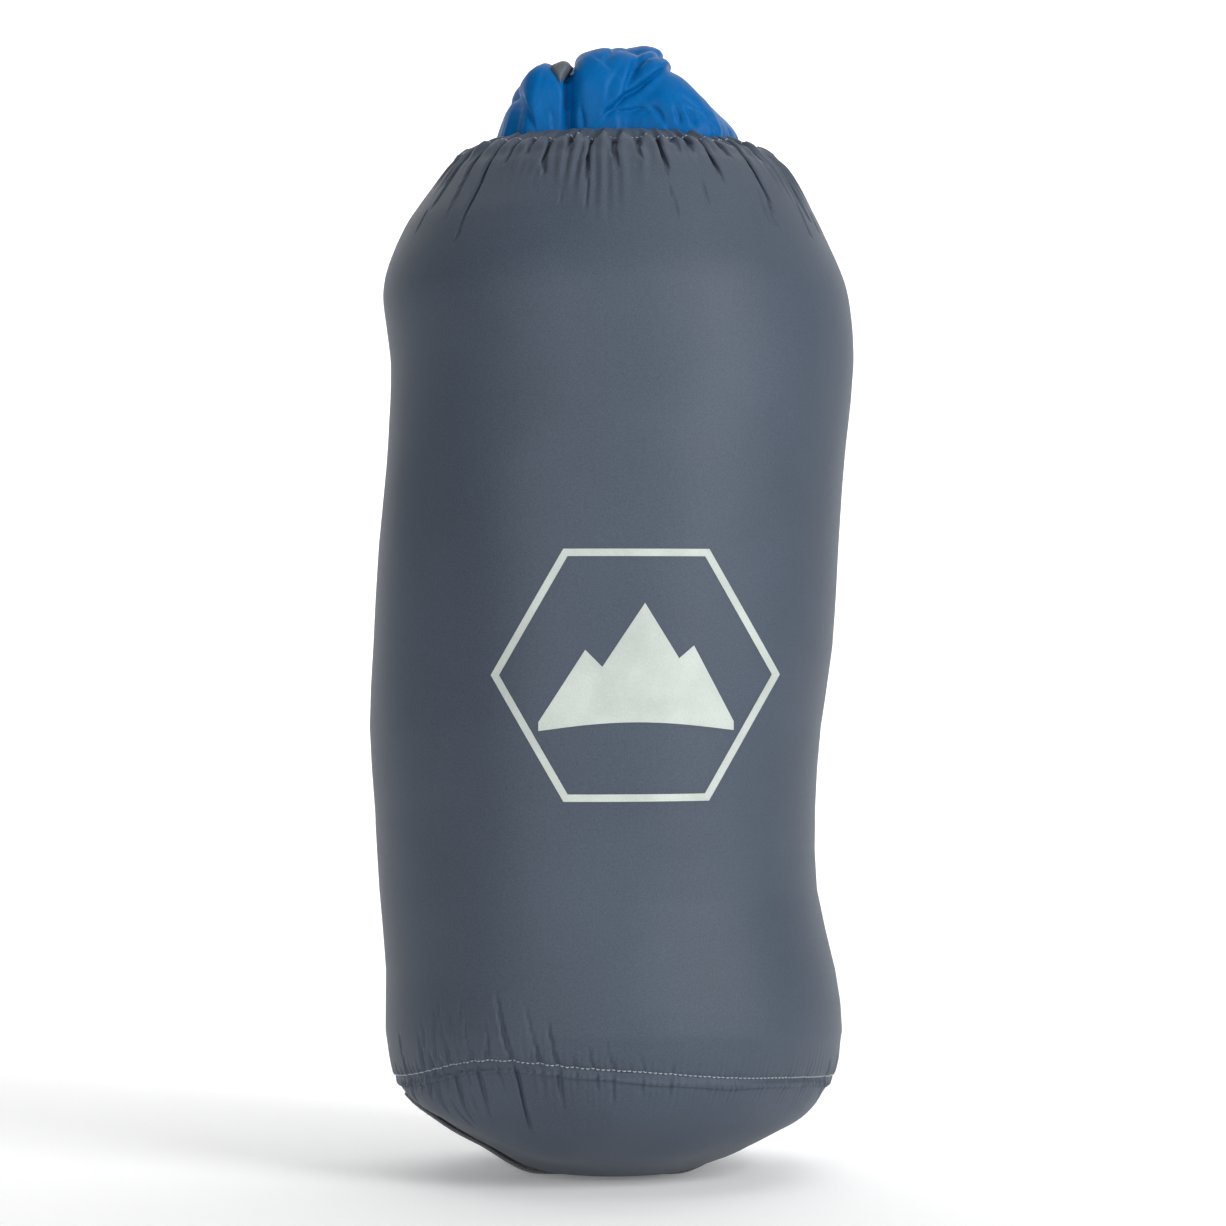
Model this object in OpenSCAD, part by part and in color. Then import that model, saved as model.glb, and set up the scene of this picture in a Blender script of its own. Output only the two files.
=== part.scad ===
// Drawstring stuff sack, packed full with a sleeping bag that stands out of its gathered mouth.
// Millimetres, +Z up. The sack stands on its base strap at z = 0, and its front faces -Y.

/* [Sack] */
// Depth of the sack front to back, as a share of its width
depth_ratio = 0.98; // [0.85:0.01:1.05]
// Modelled thickness of one fabric panel
fabric_t = 1.2; // [0.8:0.1:2]
// Clear space between neighbouring layers
layer_gap = 0.4; // [0.3:0.1:0.8]
// Height of the base seam at the sides
seam_z = 48; // [40:1:60]
// Width of the seam allowance that shows below the base seam
allowance_w = 6; // [4:0.5:9]
// Width of the felled side seam
fell_w = 10; // [8:1:14]

/* [Mouth] */
// Radius of the middle of the casing at the rim
rim_r = 60; // [57:0.5:64]
// Height of the middle of the casing at the rim
rim_z = 506.5; // [505:0.5:508]
// Width of the drawcord casing
casing_w = 13; // [11:0.5:15]
// Slope of the casing below the horizontal
casing_slope = 30; // [25:1:35]
// Thickness of each ply of the casing
ply_t = 0.8; // [0.5:0.1:0.9]
// Half of the opening left in the casing at the side seam
exit_half_w = 7; // [6:0.5:9]
// Diameter of the drawcord
cord_d = 3; // [2.5:0.1:3]

/* [Cord lock] */
// Diameter of the barrel
lock_d = 16; // [15:0.5:17]
// Length of the barrel
lock_len = 19; // [18:0.5:22]
// Diameter of the plunger
plunger_d = 10.4; // [9:0.1:11]
// Travel of the plunger when it is pressed
plunger_travel = 4; // [3:0.5:4]
// Distance that the lock can run along the cords
lock_run = 20; // [10:1:20]

/* [Grab handle] */
// Width of the webbing
strap_w = 25; // [20:1:30]
// Thickness of the webbing
strap_t = 1.6; // [1:0.1:1.8]

/* [Sleeping bag] */
// Height of the top of the tuft
tuft_top = 555; // [545:1:560]

/* [Print] */
// Width of the printed hexagon across its corners
print_w = 137; // [100:1:145]
// Height of the centre of the print
print_z = 247; // [220:1:270]
// Sideways place of the centre of the print
print_x = 11; // [-5:1:15]

/* [Stitches] */
// Distance from one stitch to the next
stitch_pitch = 5; // [4:0.5:8]
// Thickness of the thread
thread_t = 0.6; // [0.4:0.1:0.8]

/* [Hidden] */

slate = [0.30, 0.34, 0.39];
thread_grey = [0.62, 0.65, 0.68];
cord_black = [0.10, 0.10, 0.11];
bag_blue = [0.02, 0.36, 0.68];
BACK = 90;
FRONT = 270;
STEP = 0.02;

// [height, left edge, right edge] of the body panel, from the base seam up to the casing
BODY = [[seam_z, -108, 109], [70, -112, 114], [100, -112, 111], [140, -115, 102],
    [180, -117, 101], [220, -119.5, 103], [260, -118, 108.5], [310, -116, 112],
    [360, -112, 116], [400, -110, 119.5], [430, -114, 117], [450, -112, 112],
    [470, -103, 103], [490, -85, 89], [500, -73, 75]];

// [height, left edge, right edge] of the base panel, from its flat spot up to the base seam
base_flat_z = strap_t + layer_gap;
BASE = [[base_flat_z, -38, 38], [7, -52, 52], [15, -72, 72], [25, -88, 89], [36, -100, 101],
    [seam_z - 0.6, -107, 108]];

// [height, left edge, right edge] of the blue tuft, from inside the mouth up
TUFT = [[496.6, -50, 50], [503, -55, 55], [508.5, -56.2, 56.2], [514, -55, 57], [522, -52, 51],
    [530, -46.5, 43], [538, -42.5, 36], [545, -36, 30], [550, -19, 26], [553.5, -13, 23.5],
    [tuft_top, -6, 16]];

// ---- Smooth outlines ----------------------------------------------------------------------

// Catmull-Rom curve through a list of stations, with t = 0 at the first and 1 more at each next
function station(list, i) = list[max(0, min(len(list) - 1, i))];
function spline(list, t) =
    let(i = min(floor(t), len(list) - 2), f = t - i,
        a = station(list, i - 1), b = station(list, i),
        c = station(list, i + 1), d = station(list, i + 2))
    0.5 * (2 * b + (c - a) * f + (2 * a - 5 * b + 4 * c - d) * f * f
        + (3 * b - a - 3 * c + d) * f * f * f);

// How far the base seam lifts above its sides: most at the front, a little at the back
function seam_lift(u) = 8 * pow(sin(u), 2) - 5 * sin(u);
function lift_share(z) = z < seam_z ? pow(max(0, z - base_flat_z) / seam_z, 2)
    : pow(max(0, 1 - (z - seam_z) / 100), 2);

// Point at angle u and station t of an outline, on its skin
function skin(list, u, t) =
    let(s = spline(list, t), rx = (s[2] - s[1]) / 2)
    [(s[1] + s[2]) / 2 + rx * cos(u), rx * depth_ratio * sin(u),
        s[0] + seam_lift(u) * lift_share(s[0])];
function unit(v) = v / norm(v);
function skin_normal(list, u, t) =
    let(last = len(list) - 1, t0 = max(0, t - STEP), t1 = min(last, t + STEP),
        du = skin(list, u + 1, t) - skin(list, u - 1, t),
        dt = skin(list, u, t1) - skin(list, u, t0))
    unit(cross(du, dt));
// The same point moved off the skin, outwards where off is positive
function off_skin(list, u, t, off) = skin(list, u, t) + off * skin_normal(list, u, t);
// The station of an outline that lies at height z
function station_at(list, z, lo, hi, n = 24) =
    n == 0 ? (lo + hi) / 2
    : let(mid = (lo + hi) / 2)
        spline(list, mid)[0] < z ? station_at(list, z, mid, hi, n - 1)
        : station_at(list, z, lo, mid, n - 1);

// ---- Solids from grids of points ----------------------------------------------------------

function flat(lists) = [for (l = lists) each l];
// Faces of a slab between an outer grid and an inner grid of rows x cols points, counted from
// index first. ring closes the columns on themselves.
function slab_faces(rows, cols, ring, first = 0) =
    let(n = rows * cols, last = ring ? cols - 1 : cols - 2,
        at = function(side, i, j) first + side * n + i * cols + j % cols)
    flat([
        [for (i = [0:rows - 2], j = [0:last])
            each [[at(0, i, j), at(0, i, j + 1), at(0, i + 1, j + 1)],
                [at(0, i, j), at(0, i + 1, j + 1), at(0, i + 1, j)]]],
        [for (i = [0:rows - 2], j = [0:last])
            each [[at(1, i, j), at(1, i + 1, j + 1), at(1, i, j + 1)],
                [at(1, i, j), at(1, i + 1, j), at(1, i + 1, j + 1)]]],
        [for (j = [0:last])
            each [[at(0, 0, j), at(1, 0, j), at(1, 0, j + 1)],
                [at(0, 0, j), at(1, 0, j + 1), at(0, 0, j + 1)],
                [at(0, rows - 1, j), at(1, rows - 1, j + 1), at(1, rows - 1, j)],
                [at(0, rows - 1, j), at(0, rows - 1, j + 1), at(1, rows - 1, j + 1)]]],
        ring ? [] : [for (i = [0:rows - 2])
            each [[at(0, i, 0), at(0, i + 1, 0), at(1, i + 1, 0)],
                [at(0, i, 0), at(1, i + 1, 0), at(1, i, 0)],
                [at(0, i, cols - 1), at(1, i + 1, cols - 1), at(0, i + 1, cols - 1)],
                [at(0, i, cols - 1), at(1, i, cols - 1), at(1, i + 1, cols - 1)]]]]);
module slab(outer, inner, ring) {
    polyhedron(points = concat(flat(outer), flat(inner)),
        faces = [for (f = slab_faces(len(outer), len(outer[0]), ring)) [f[2], f[1], f[0]]]);
}
// Several slabs in one group of solids: each entry is [outer grid, inner grid, ring]
module slabs(list) {
    sizes = [for (s = list) 2 * len(s[0]) * len(s[0][0])];
    starts = [for (i = 0, sum = 0; i < len(list); sum = sum + sizes[i], i = i + 1) sum];
    polyhedron(points = flat([for (s = list) concat(flat(s[0]), flat(s[1]))]),
        faces = flat([for (k = [0:len(list) - 1])
            [for (f = slab_faces(len(list[k][0]), len(list[k][0][0]), list[k][2], starts[k]))
                [f[2], f[1], f[0]]]]));
}
// Solid of closed rings of points, capped flat at both ends
module stack(rings) {
    cols = len(rings[0]);
    last = len(rings) - 1;
    sides = [for (i = [0:last - 1], j = [0:cols - 1])
        each [[i * cols + j, (i + 1) * cols + (j + 1) % cols, i * cols + (j + 1) % cols],
            [i * cols + j, (i + 1) * cols + j, (i + 1) * cols + (j + 1) % cols]]];
    caps = [[for (j = [0:cols - 1]) j], [for (j = [cols - 1:-1:0]) last * cols + j]];
    polyhedron(points = flat(rings), faces = concat(sides, caps));
}

AROUND = [for (u = [0:12:348]) u];
function rings(list, step, off) = [for (t = [0:step:len(list) - 1])
    [for (u = AROUND) off_skin(list, u, t, off)]];

// Round tube swept along a route
SIDES = 8;
function route_dir(p, i) = unit(p[min(len(p) - 1, i + 1)] - p[max(0, i - 1)]);
function carry(side, dir) = unit(side - (side * dir) * dir);
function side_list(p, first) = [for (i = 0, s = carry(first, route_dir(p, 0)); i < len(p);
    i = i + 1, s = carry(s, route_dir(p, min(i, len(p) - 1)))) s];
module tube(p, r, first = [0, 0, 1]) {
    across = side_list(p, first);
    stack([for (i = [0:len(p) - 1])
        let(d = route_dir(p, i), a = across[i], b = cross(d, a))
        [for (k = [0:SIDES - 1]) p[i] + r * (cos(360 * k / SIDES) * a + sin(360 * k / SIDES) * b)]]);
}

// One stitch: a short slab of thread lying from point a to point b on a surface of normal n
function stitch(a, b, n) =
    let(w = unit(cross(b - a, n)) * thread_t / 2, lo = n * 0.25, hi = n * (0.25 + thread_t))
    [[[a + w + hi, b + w + hi], [a - w + hi, b - w + hi]],
        [[a + w + lo, b + w + lo], [a - w + lo, b - w + lo]], false];
STITCH_SHARE = 0.65;

// ---- Fabric panels ------------------------------------------------------------------------

module body_panel() {
    color(slate) slab(rings(BODY, 0.5, 0), rings(BODY, 0.5, -fabric_t), true);
}

module base_panel() {
    outer = rings(BASE, 0.5, 0);
    inner = rings(BASE, 0.5, -fabric_t);
    cols = len(AROUND);
    rows = len(outer);
    n = rows * cols;
    faces = slab_faces(rows, cols, true);
    // the flat spot closes the bottom, in place of the rim faces of row 0
    open = [for (f = faces) if (!(min(f) < cols && max(f) >= n && max(f) < n + cols)) f];
    color(slate) polyhedron(points = concat(flat(outer), flat(inner)),
        faces = concat([for (f = open) [f[2], f[1], f[0]]],
            [[for (j = [0:cols - 1]) j]], [[for (j = [cols - 1:-1:0]) n + j]]));
}

module base_seam_allowance() {
    t1 = len(BASE) - 1;
    t0 = station_at(BASE, seam_z - allowance_w, 0, t1);
    band = function(off) [for (t = [t0, (t0 + t1) / 2, t1]) [for (u = AROUND)
        off_skin(BASE, u, t, off)]];
    color(slate) slab(band(layer_gap + 0.8), band(layer_gap), true);
}

module base_topstitch() {
    count = round(2 * PI * 110 / stitch_pitch);
    du = 360 / count;
    t = 0.12;
    color(thread_grey) slabs([for (i = [0:count - 1])
        let(u = i * du)
        stitch(off_skin(BODY, u, t, 0), off_skin(BODY, u + du * STITCH_SHARE, t, 0),
            skin_normal(BODY, u, t))]);
}

FELL_OFF = 0.3;
FELL_T = 0.5;
module side_seam_fell() {
    half = asin(fell_w / 2 / 110);
    top = len(BODY) - 1;
    strip = function(off) [for (t = [0.3:0.5:top]) [for (u = [BACK - half, BACK, BACK + half])
        off_skin(BODY, u, t, off)]];
    color(slate) slab(strip(FELL_OFF + FELL_T), strip(FELL_OFF), false);
}

module side_seam_topstitch() {
    half = asin((fell_w / 2 - 1.5) / 110);
    step = stitch_pitch / 35;
    color(thread_grey) slabs([for (u = [BACK - half, BACK + half], t = [0.5:step:len(BODY) - 2.6])
        let(n = skin_normal(BODY, u, t), off = FELL_OFF + FELL_T)
        stitch(off_skin(BODY, u, t, off), off_skin(BODY, u, t + step * STITCH_SHARE, off), n)]);
}

// ---- Casing at the mouth ------------------------------------------------------------------

// Point of the casing at angle u, s down the slope from the rim and h off its middle
function casing_point(u, s, h) =
    let(r = rim_r + s * cos(casing_slope) + h * sin(casing_slope))
    [r * cos(u), r * sin(u), rim_z - s * sin(casing_slope) + h * cos(casing_slope)];
CHANNEL = cord_d / 2 + 0.3;
// Section of the folded hem: down the outer ply, round the rim and down the inner ply
FOLD = [for (a = [90:30:270]) a];
function hem(h) = concat([[casing_w, h], [casing_w / 2, h]],
    [for (a = FOLD) [h * cos(a), h * sin(a)]], [[casing_w / 2, -h], [casing_w, -h]]);

exit_deg = asin(exit_half_w / rim_r);
module drawcord_casing() {
    span = [for (i = [0:30]) BACK + exit_deg + i * (360 - 2 * exit_deg) / 30];
    sheet = function(h) [for (p = hem(h)) [for (u = span) casing_point(u, p[0], p[1])]];
    color(slate) slab(sheet(CHANNEL + ply_t), sheet(CHANNEL), false);
}

module casing_topstitch() {
    r = rim_r + casing_w;
    du = stitch_pitch / r * 180 / PI;
    s = casing_w - 2;
    h = CHANNEL + ply_t;
    n = function(u) [cos(u) * sin(casing_slope), sin(u) * sin(casing_slope), cos(casing_slope)];
    color(thread_grey) slabs([for (u = [BACK + 13:du:BACK + 342])
        stitch(casing_point(u, s, h), casing_point(u + du * STITCH_SHARE, s, h), n(u))]);
}

module cord_exit_tacks() {
    n = [0, sin(casing_slope), cos(casing_slope)];
    h = CHANNEL + ply_t;
    tack_deg = exit_deg + 2.2;
    color(thread_grey) slabs([for (u = [BACK - tack_deg, BACK + tack_deg], k = [0:4])
        let(s = 2.5 + k * 2)
        stitch(casing_point(u - 1.3, s, h), casing_point(u + 1.3, s, h), n)]);
}

// ---- Drawcord and cord lock ---------------------------------------------------------------

// The cords run straight from the casing to the knot, across the lock, at this slope
run_slope = 45;
down = [0, cos(run_slope), -sin(run_slope)];
out = [0, sin(run_slope), cos(run_slope)];
// Centre of the lock at rest, close below the casing
lock_at = [0, 84.2, 503.8];
cord_r = cord_d / 2;
pair = cord_r + 0.25;
// Place of a point: x across, a along the run from the lock's centre, b off the sack
function on_run(x, a, b) = lock_at + [x, 0, 0] + a * down + b * out;

// The cord under the other one, from the knot to the casing, then the ring, then back over it
RUN_IN = [[0, 44, -9], [0, 40, -7.7], [0, 36, -5], [0, 32, -2.6], [0, 28, -1.75], [0, 12, -1.75],
    [0, -10, -1.75], [-1, -14, -2.6], [-3, -17.5, -4]];
RUN_OUT = [[0, -10, 1.75], [1, -14, 0.4], [3, -17.5, -2.6]];
ring_r_s = 3;
ring_start = asin(8.5 / rim_r);
RING = [for (i = [0:43]) casing_point(BACK + ring_start + i * (360 - 2 * ring_start) / 43, ring_r_s, 0)];
function run_points(list) = [for (p = list) on_run(p[0], p[1], p[2])];
function reversed(list) = [for (i = [len(list) - 1:-1:0]) list[i]];
RUN_BACK = [[0, 46, -5.6], [0, 42, -4.1], [0, 38, -1.5], [0, 34, 0.7], [0, 29, 1.75], [0, 12, 1.75]];
CORD = concat(run_points(RUN_IN), [[-6, 66, 503.2]], RING,
    [[6, 66, 503.2]], run_points(reversed(RUN_OUT)), run_points(reversed(RUN_BACK)));

module drawcord() {
    color(cord_black) tube(CORD, cord_r, [1, 0, 0]);
}

module stop_knot() {
    color(cord_black) translate(on_run(0, 48.5, -9)) sphere(d = 9.4, $fn = 32);
}

bore_d = plunger_d + 0.6;
slot_w = cord_d + 0.6;
slot_h = 2 * (pair + cord_r) + 0.5;
barrel_x0 = -lock_len / 2 - 2;
barrel_x1 = barrel_x0 + lock_len;
bore_x0 = barrel_x0 + 1.6;
module cord_lock_barrel() {
    color(cord_black) translate(lock_at) difference() {
        translate([barrel_x0, 0, 0]) rotate([0, 90, 0]) rotate_extrude($fn = 48)
            polygon([[0, 0], [lock_d / 2 - 1, 0], [lock_d / 2, 1], [lock_d / 2, lock_len - 1],
                [lock_d / 2 - 1, lock_len], [0, lock_len]]);
        translate([bore_x0, 0, 0]) rotate([0, 90, 0]) cylinder(d = bore_d, h = lock_len, $fn = 48);
        rotate([-run_slope, 0, 0]) cube([slot_w, 3 * lock_d, slot_h], center = true);
    }
}

plunger_x0 = -slot_w / 2 - 1.6;
button_x1 = barrel_x1 + plunger_travel + 1.5;
module cord_lock_plunger() {
    color([0.22, 0.22, 0.24]) translate(lock_at) difference() {
        union() {
            translate([plunger_x0, 0, 0]) rotate([0, 90, 0])
                cylinder(d = plunger_d, h = button_x1 - plunger_x0 - 1, $fn = 48);
            translate([button_x1 - 1, 0, 0]) rotate([0, 90, 0])
                cylinder(d1 = plunger_d, d2 = plunger_d - 2, h = 1, $fn = 48);
        }
        translate([plunger_travel / 2, 0, 0]) rotate([-run_slope, 0, 0])
            cube([slot_w + plunger_travel, 3 * lock_d, slot_h], center = true);
    }
}

module cord_lock_spring() {
    turns = 2.5;
    wire_r = 0.35;
    mean_r = plunger_d / 2 - 1.2;
    x0 = bore_x0 + wire_r + 0.1;
    x1 = plunger_x0 - wire_r - 0.1;
    points = [for (i = [0:30]) let(a = 360 * turns * i / 30)
        lock_at + [x0 + (x1 - x0) * i / 30, mean_r * cos(a), mean_r * sin(a)]];
    color("silver") tube(points, wire_r, [1, 0, 0]);
}

// ---- Grab handle under the base -----------------------------------------------------------

// Slack of the webbing off the base: it hangs a little away on the left and lies close on the right
function slack(side, t) = layer_gap + (side < 0 ? 1.8 * sin(180 * t / (len(BASE) - 1)) : 0);
function strap_edge(side, off) = [for (t = [0:0.55:len(BASE) - 1.5])
    let(s = spline(BASE, t), a = spline(BASE, max(0, t - STEP)), b = spline(BASE, t + STEP),
        k = side < 0 ? 1 : 2, d = unit([b[k] - a[k], b[0] - a[0]]), n = [d[1], -d[0]] * side)
    t == 0 ? [s[k], s[0] - off - layer_gap]
    : [s[k], s[0]] + n * (off + slack(side, t) + 0.8 * t / len(BASE))];
module grab_handle() {
    inner = concat(reversed(strap_edge(-1, 0)), strap_edge(1, 0));
    outer = concat(reversed(strap_edge(-1, strap_t)), strap_edge(1, strap_t));
    color(slate) translate([0, strap_w / 2, 0]) rotate([90, 0, 0])
        linear_extrude(strap_w) polygon(concat(inner, reversed(outer)));
}

module handle_tacks() {
    ends = [[-1, strap_edge(-1, strap_t)], [1, strap_edge(1, strap_t)]];
    color(thread_grey) slabs([for (e = ends, k = [0:2], y = [-10:4:6])
        let(p = e[1][len(e[1]) - 1], q = e[1][len(e[1]) - 2], d = unit(p - q),
            c = p - d * (2 + 2.5 * k), n = [d[1], -d[0]] * e[0])
        stitch([c[0], y, c[1]], [c[0], y + 3, c[1]], [n[0], 0, n[1]])]);
}

// ---- Print --------------------------------------------------------------------------------

// Point of the front skin at sideways place x and height z, moved off it
function front_point(x, z, off) =
    let(t = station_at(BODY, z, 0, len(BODY) - 1), s = spline(BODY, t),
        c = (s[1] + s[2]) / 2, rx = (s[2] - s[1]) / 2)
    off_skin(BODY, 360 - acos((x - c) / rx), t, off);
// Strip of ink between two outlines, given as lists of [x, z] from the print's centre
function ink(low, high, off) = [for (f = [0, 0.34, 0.67, 1]) [for (i = [0:len(low) - 1])
    let(p = low[i] * (1 - f) + high[i] * f) front_point(print_x + p[0], print_z + p[1], off)]];
INK_OFF = 0.45;
INK_T = 0.3;
function ink_slab(low, high, ring) =
    [ink(low, high, INK_OFF + INK_T), ink(low, high, INK_OFF), ring];
function corner(i, r) = [r * cos(60 * i), r * sin(60 * i)];
// Ridge line and foot line of the mountains, from left to right
RIDGE = [[-46, -22], [-24, 12], [-16, 4], [4, 34], [20, 8], [27, 14], [46, -22]];
function foot(x) = -26 + 4 * cos(2 * x);
module front_print() {
    hexagon = function(r) [for (i = [0:5], k = [0:6])
        if (k < 6) corner(-i, r) * (1 - k / 6) + corner(-i - 1, r) * k / 6];
    crest = [for (i = [0:len(RIDGE) - 2], k = [0:3]) RIDGE[i] * (1 - k / 4) + RIDGE[i + 1] * k / 4];
    color([0.86, 0.89, 0.87]) slabs([
        ink_slab(hexagon(print_w / 2 - 4), hexagon(print_w / 2), true),
        ink_slab([for (p = crest) [p[0], foot(p[0])]],
            [for (p = crest) [p[0], max(p[1], foot(p[0]) + 1)]], false)]);
}

// ---- Sleeping bag -------------------------------------------------------------------------

CORE_OFF = fabric_t + layer_gap;
module sleeping_bag_core() {
    base_part = [for (t = [0:1:len(BASE) - 2]) [for (u = AROUND) off_skin(BASE, u, t, -CORE_OFF)]];
    body_part = [for (t = [0.5:0.5:len(BODY) - 2]) [for (u = AROUND) off_skin(BODY, u, t, -CORE_OFF)]];
    top_part = [[for (u = AROUND) [76 * cos(u), 76 * depth_ratio * sin(u), 494]],
        [for (u = AROUND) [66 * cos(u), 66 * depth_ratio * sin(u), 496]]];
    color(bag_blue) stack(concat(base_part, body_part, top_part));
}

module sleeping_bag_tuft() {
    color(bag_blue) stack([for (t = [0:1:len(TUFT) - 1]) [for (u = AROUND)
        let(p = skin(TUFT, u, t)) [p[0], p[1] * (t < 3 ? 1 : 0.9), p[2]]]]);
}

module sleeping_bag_lining() {
    flap = function(off) [for (t = [6.2:0.4:7.4]) [for (u = [232:6:250])
        let(p = off_skin(TUFT, u, t, off)) [p[0], p[1] * 0.9, p[2]]]];
    color([0.35, 0.38, 0.42]) slab(flap(2), flap(1), false);
}

body_panel();
base_panel();
base_seam_allowance();
base_topstitch();
side_seam_fell();
side_seam_topstitch();
drawcord_casing();
casing_topstitch();
cord_exit_tacks();
drawcord();
stop_knot();
cord_lock_barrel();
cord_lock_plunger();
cord_lock_spring();
grab_handle();
handle_tacks();
front_print();
sleeping_bag_core();
sleeping_bag_tuft();
sleeping_bag_lining();
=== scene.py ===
import math

import bpy
import numpy as np
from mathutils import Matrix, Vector
from mathutils.bvhtree import BVHTree


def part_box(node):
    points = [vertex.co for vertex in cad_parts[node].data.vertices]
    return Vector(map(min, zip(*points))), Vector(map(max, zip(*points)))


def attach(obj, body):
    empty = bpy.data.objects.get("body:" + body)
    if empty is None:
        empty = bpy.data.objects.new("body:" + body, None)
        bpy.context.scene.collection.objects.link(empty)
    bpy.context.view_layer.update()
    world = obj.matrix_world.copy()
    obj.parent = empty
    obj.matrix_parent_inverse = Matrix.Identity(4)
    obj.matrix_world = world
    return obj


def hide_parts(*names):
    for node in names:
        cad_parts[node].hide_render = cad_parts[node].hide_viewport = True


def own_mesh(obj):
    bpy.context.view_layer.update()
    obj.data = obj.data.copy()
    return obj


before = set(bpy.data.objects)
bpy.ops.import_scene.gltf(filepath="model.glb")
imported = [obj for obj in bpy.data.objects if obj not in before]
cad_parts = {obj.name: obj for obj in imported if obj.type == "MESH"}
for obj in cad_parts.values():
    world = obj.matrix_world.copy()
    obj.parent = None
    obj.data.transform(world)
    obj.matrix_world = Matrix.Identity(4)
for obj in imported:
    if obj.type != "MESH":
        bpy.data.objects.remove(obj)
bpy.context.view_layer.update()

MM = 0.001
BACK, FRONT = math.pi / 2, 3 * math.pi / 2
TAU = 2 * math.pi
rng = np.random.default_rng(7)

# ---- Camera, as the photograph sees the sack -----------------------------------------------

VIEW_DISTANCE = 2.0
FRAME_WIDTH = 0.607
camera_data = bpy.data.cameras.new("camera")
camera_data.sensor_width = 36
camera_data.lens = 36 * VIEW_DISTANCE / FRAME_WIDTH
camera_data.clip_end = 20
camera = bpy.data.objects.new("camera", camera_data)
camera.location = (0, -VIEW_DISTANCE, 0.2762)
camera.rotation_euler = (math.radians(90), 0, 0)
bpy.context.scene.collection.objects.link(camera)
bpy.context.scene.camera = camera


# ---- Small tools -----------------------------------------------------------------------------

def smoothstep(low, high, x):
    f = np.clip((x - low) / (high - low), 0, 1)
    return f * f * (3 - 2 * f)


def unit(v):
    return v / np.maximum(np.linalg.norm(v, axis=-1, keepdims=True), 1e-12)


def wrap(angle):
    """The angle brought to -pi..pi."""
    return (angle + math.pi) % TAU - math.pi


def resample(points, count):
    """Points evenly spaced along a polyline."""
    points = np.asarray(points, float)
    steps = np.linalg.norm(np.diff(points, axis=0), axis=1)
    run = np.concatenate([[0], np.cumsum(steps)])
    at = np.linspace(0, run[-1], count)
    return np.stack([np.interp(at, run, points[:, k]) for k in range(points.shape[1])], axis=1)


def smooth_curve(points, per_span=8):
    """Catmull-Rom curve through given points."""
    p = np.asarray(points, float)
    p = np.concatenate([[2 * p[0] - p[1]], p, [2 * p[-1] - p[-2]]])
    out = []
    for i in range(1, len(p) - 2):
        for f in np.linspace(0, 1, per_span, endpoint=False):
            a, b, c, d = p[i - 1], p[i], p[i + 1], p[i + 2]
            out.append(0.5 * (2 * b + (c - a) * f + (2 * a - 5 * b + 4 * c - d) * f ** 2
                              + (3 * b - a - 3 * c + d) * f ** 3))
    out.append(p[-2])
    return np.array(out)


def noise_waves(seed, count, low, high):
    """Random directions, frequencies and phases for a sum of sines in space."""
    r = np.random.default_rng(seed)
    direction = unit(r.normal(size=(count, 3)))
    return direction * r.uniform(low, high, (count, 1)) * TAU, r.uniform(0, TAU, count)


def noise(points, waves):
    """Smooth noise from -1 to 1 or so, made of sines."""
    k, phase = waves
    return np.sin(points @ k.T + phase).sum(axis=-1) / math.sqrt(len(phase) * 0.7)


def grid_normals(x, closed=True):
    """Normals of a grid of points, rows by columns, whose columns close on themselves."""
    if closed:
        du = np.roll(x, -1, axis=1) - np.roll(x, 1, axis=1)
    else:
        du = np.gradient(x, axis=1)
    return unit(np.cross(du, np.gradient(x, axis=0)))


def grid_faces(rows, cols, closed):
    last = cols if closed else cols - 1
    i, j = np.meshgrid(np.arange(rows - 1), np.arange(last), indexing="ij")
    k = (j + 1) % cols
    return np.stack([i * cols + j, i * cols + k, (i + 1) * cols + k, (i + 1) * cols + j],
                    axis=-1).reshape(-1, 4)


def make_mesh(name, verts, faces, uv=None, material=None, smooth=True):
    mesh = bpy.data.meshes.new(name)
    mesh.from_pydata([tuple(v) for v in np.asarray(verts).reshape(-1, 3)], [],
                     [tuple(int(i) for i in f) for f in faces])
    if uv is not None:
        layer = mesh.uv_layers.new(name="cloth")
        layer.data.foreach_set("uv", np.asarray(uv, float).reshape(-1))
    mesh.polygons.foreach_set("use_smooth", [smooth] * len(mesh.polygons))
    mesh.update()
    piece = bpy.data.objects.new(name, mesh)
    bpy.context.scene.collection.objects.link(piece)
    if material:
        mesh.materials.append(material)
    return piece


def grid_mesh(name, x, closed=True, material=None, cloth=None):
    """A mesh from a grid of points. cloth is its size in metres, width by length, for the weave."""
    rows, cols = x.shape[:2]
    faces = grid_faces(rows, cols, closed)
    width, length = cloth or (1, 1)
    last = cols if closed else cols - 1
    i, j = np.meshgrid(np.arange(rows - 1), np.arange(last), indexing="ij")
    u0, u1 = j / last * width, (j + 1) / last * width
    v0, v1 = i / (rows - 1) * length, (i + 1) / (rows - 1) * length
    uv = np.stack([np.stack([u0, v0], -1), np.stack([u1, v0], -1),
                   np.stack([u1, v1], -1), np.stack([u0, v1], -1)], axis=2)
    return make_mesh(name, x, faces, uv.reshape(-1, 2), material)


def add_subdivision(piece, levels=1):
    modifier = piece.modifiers.new("subdivision", "SUBSURF")
    modifier.levels = modifier.render_levels = levels


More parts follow.
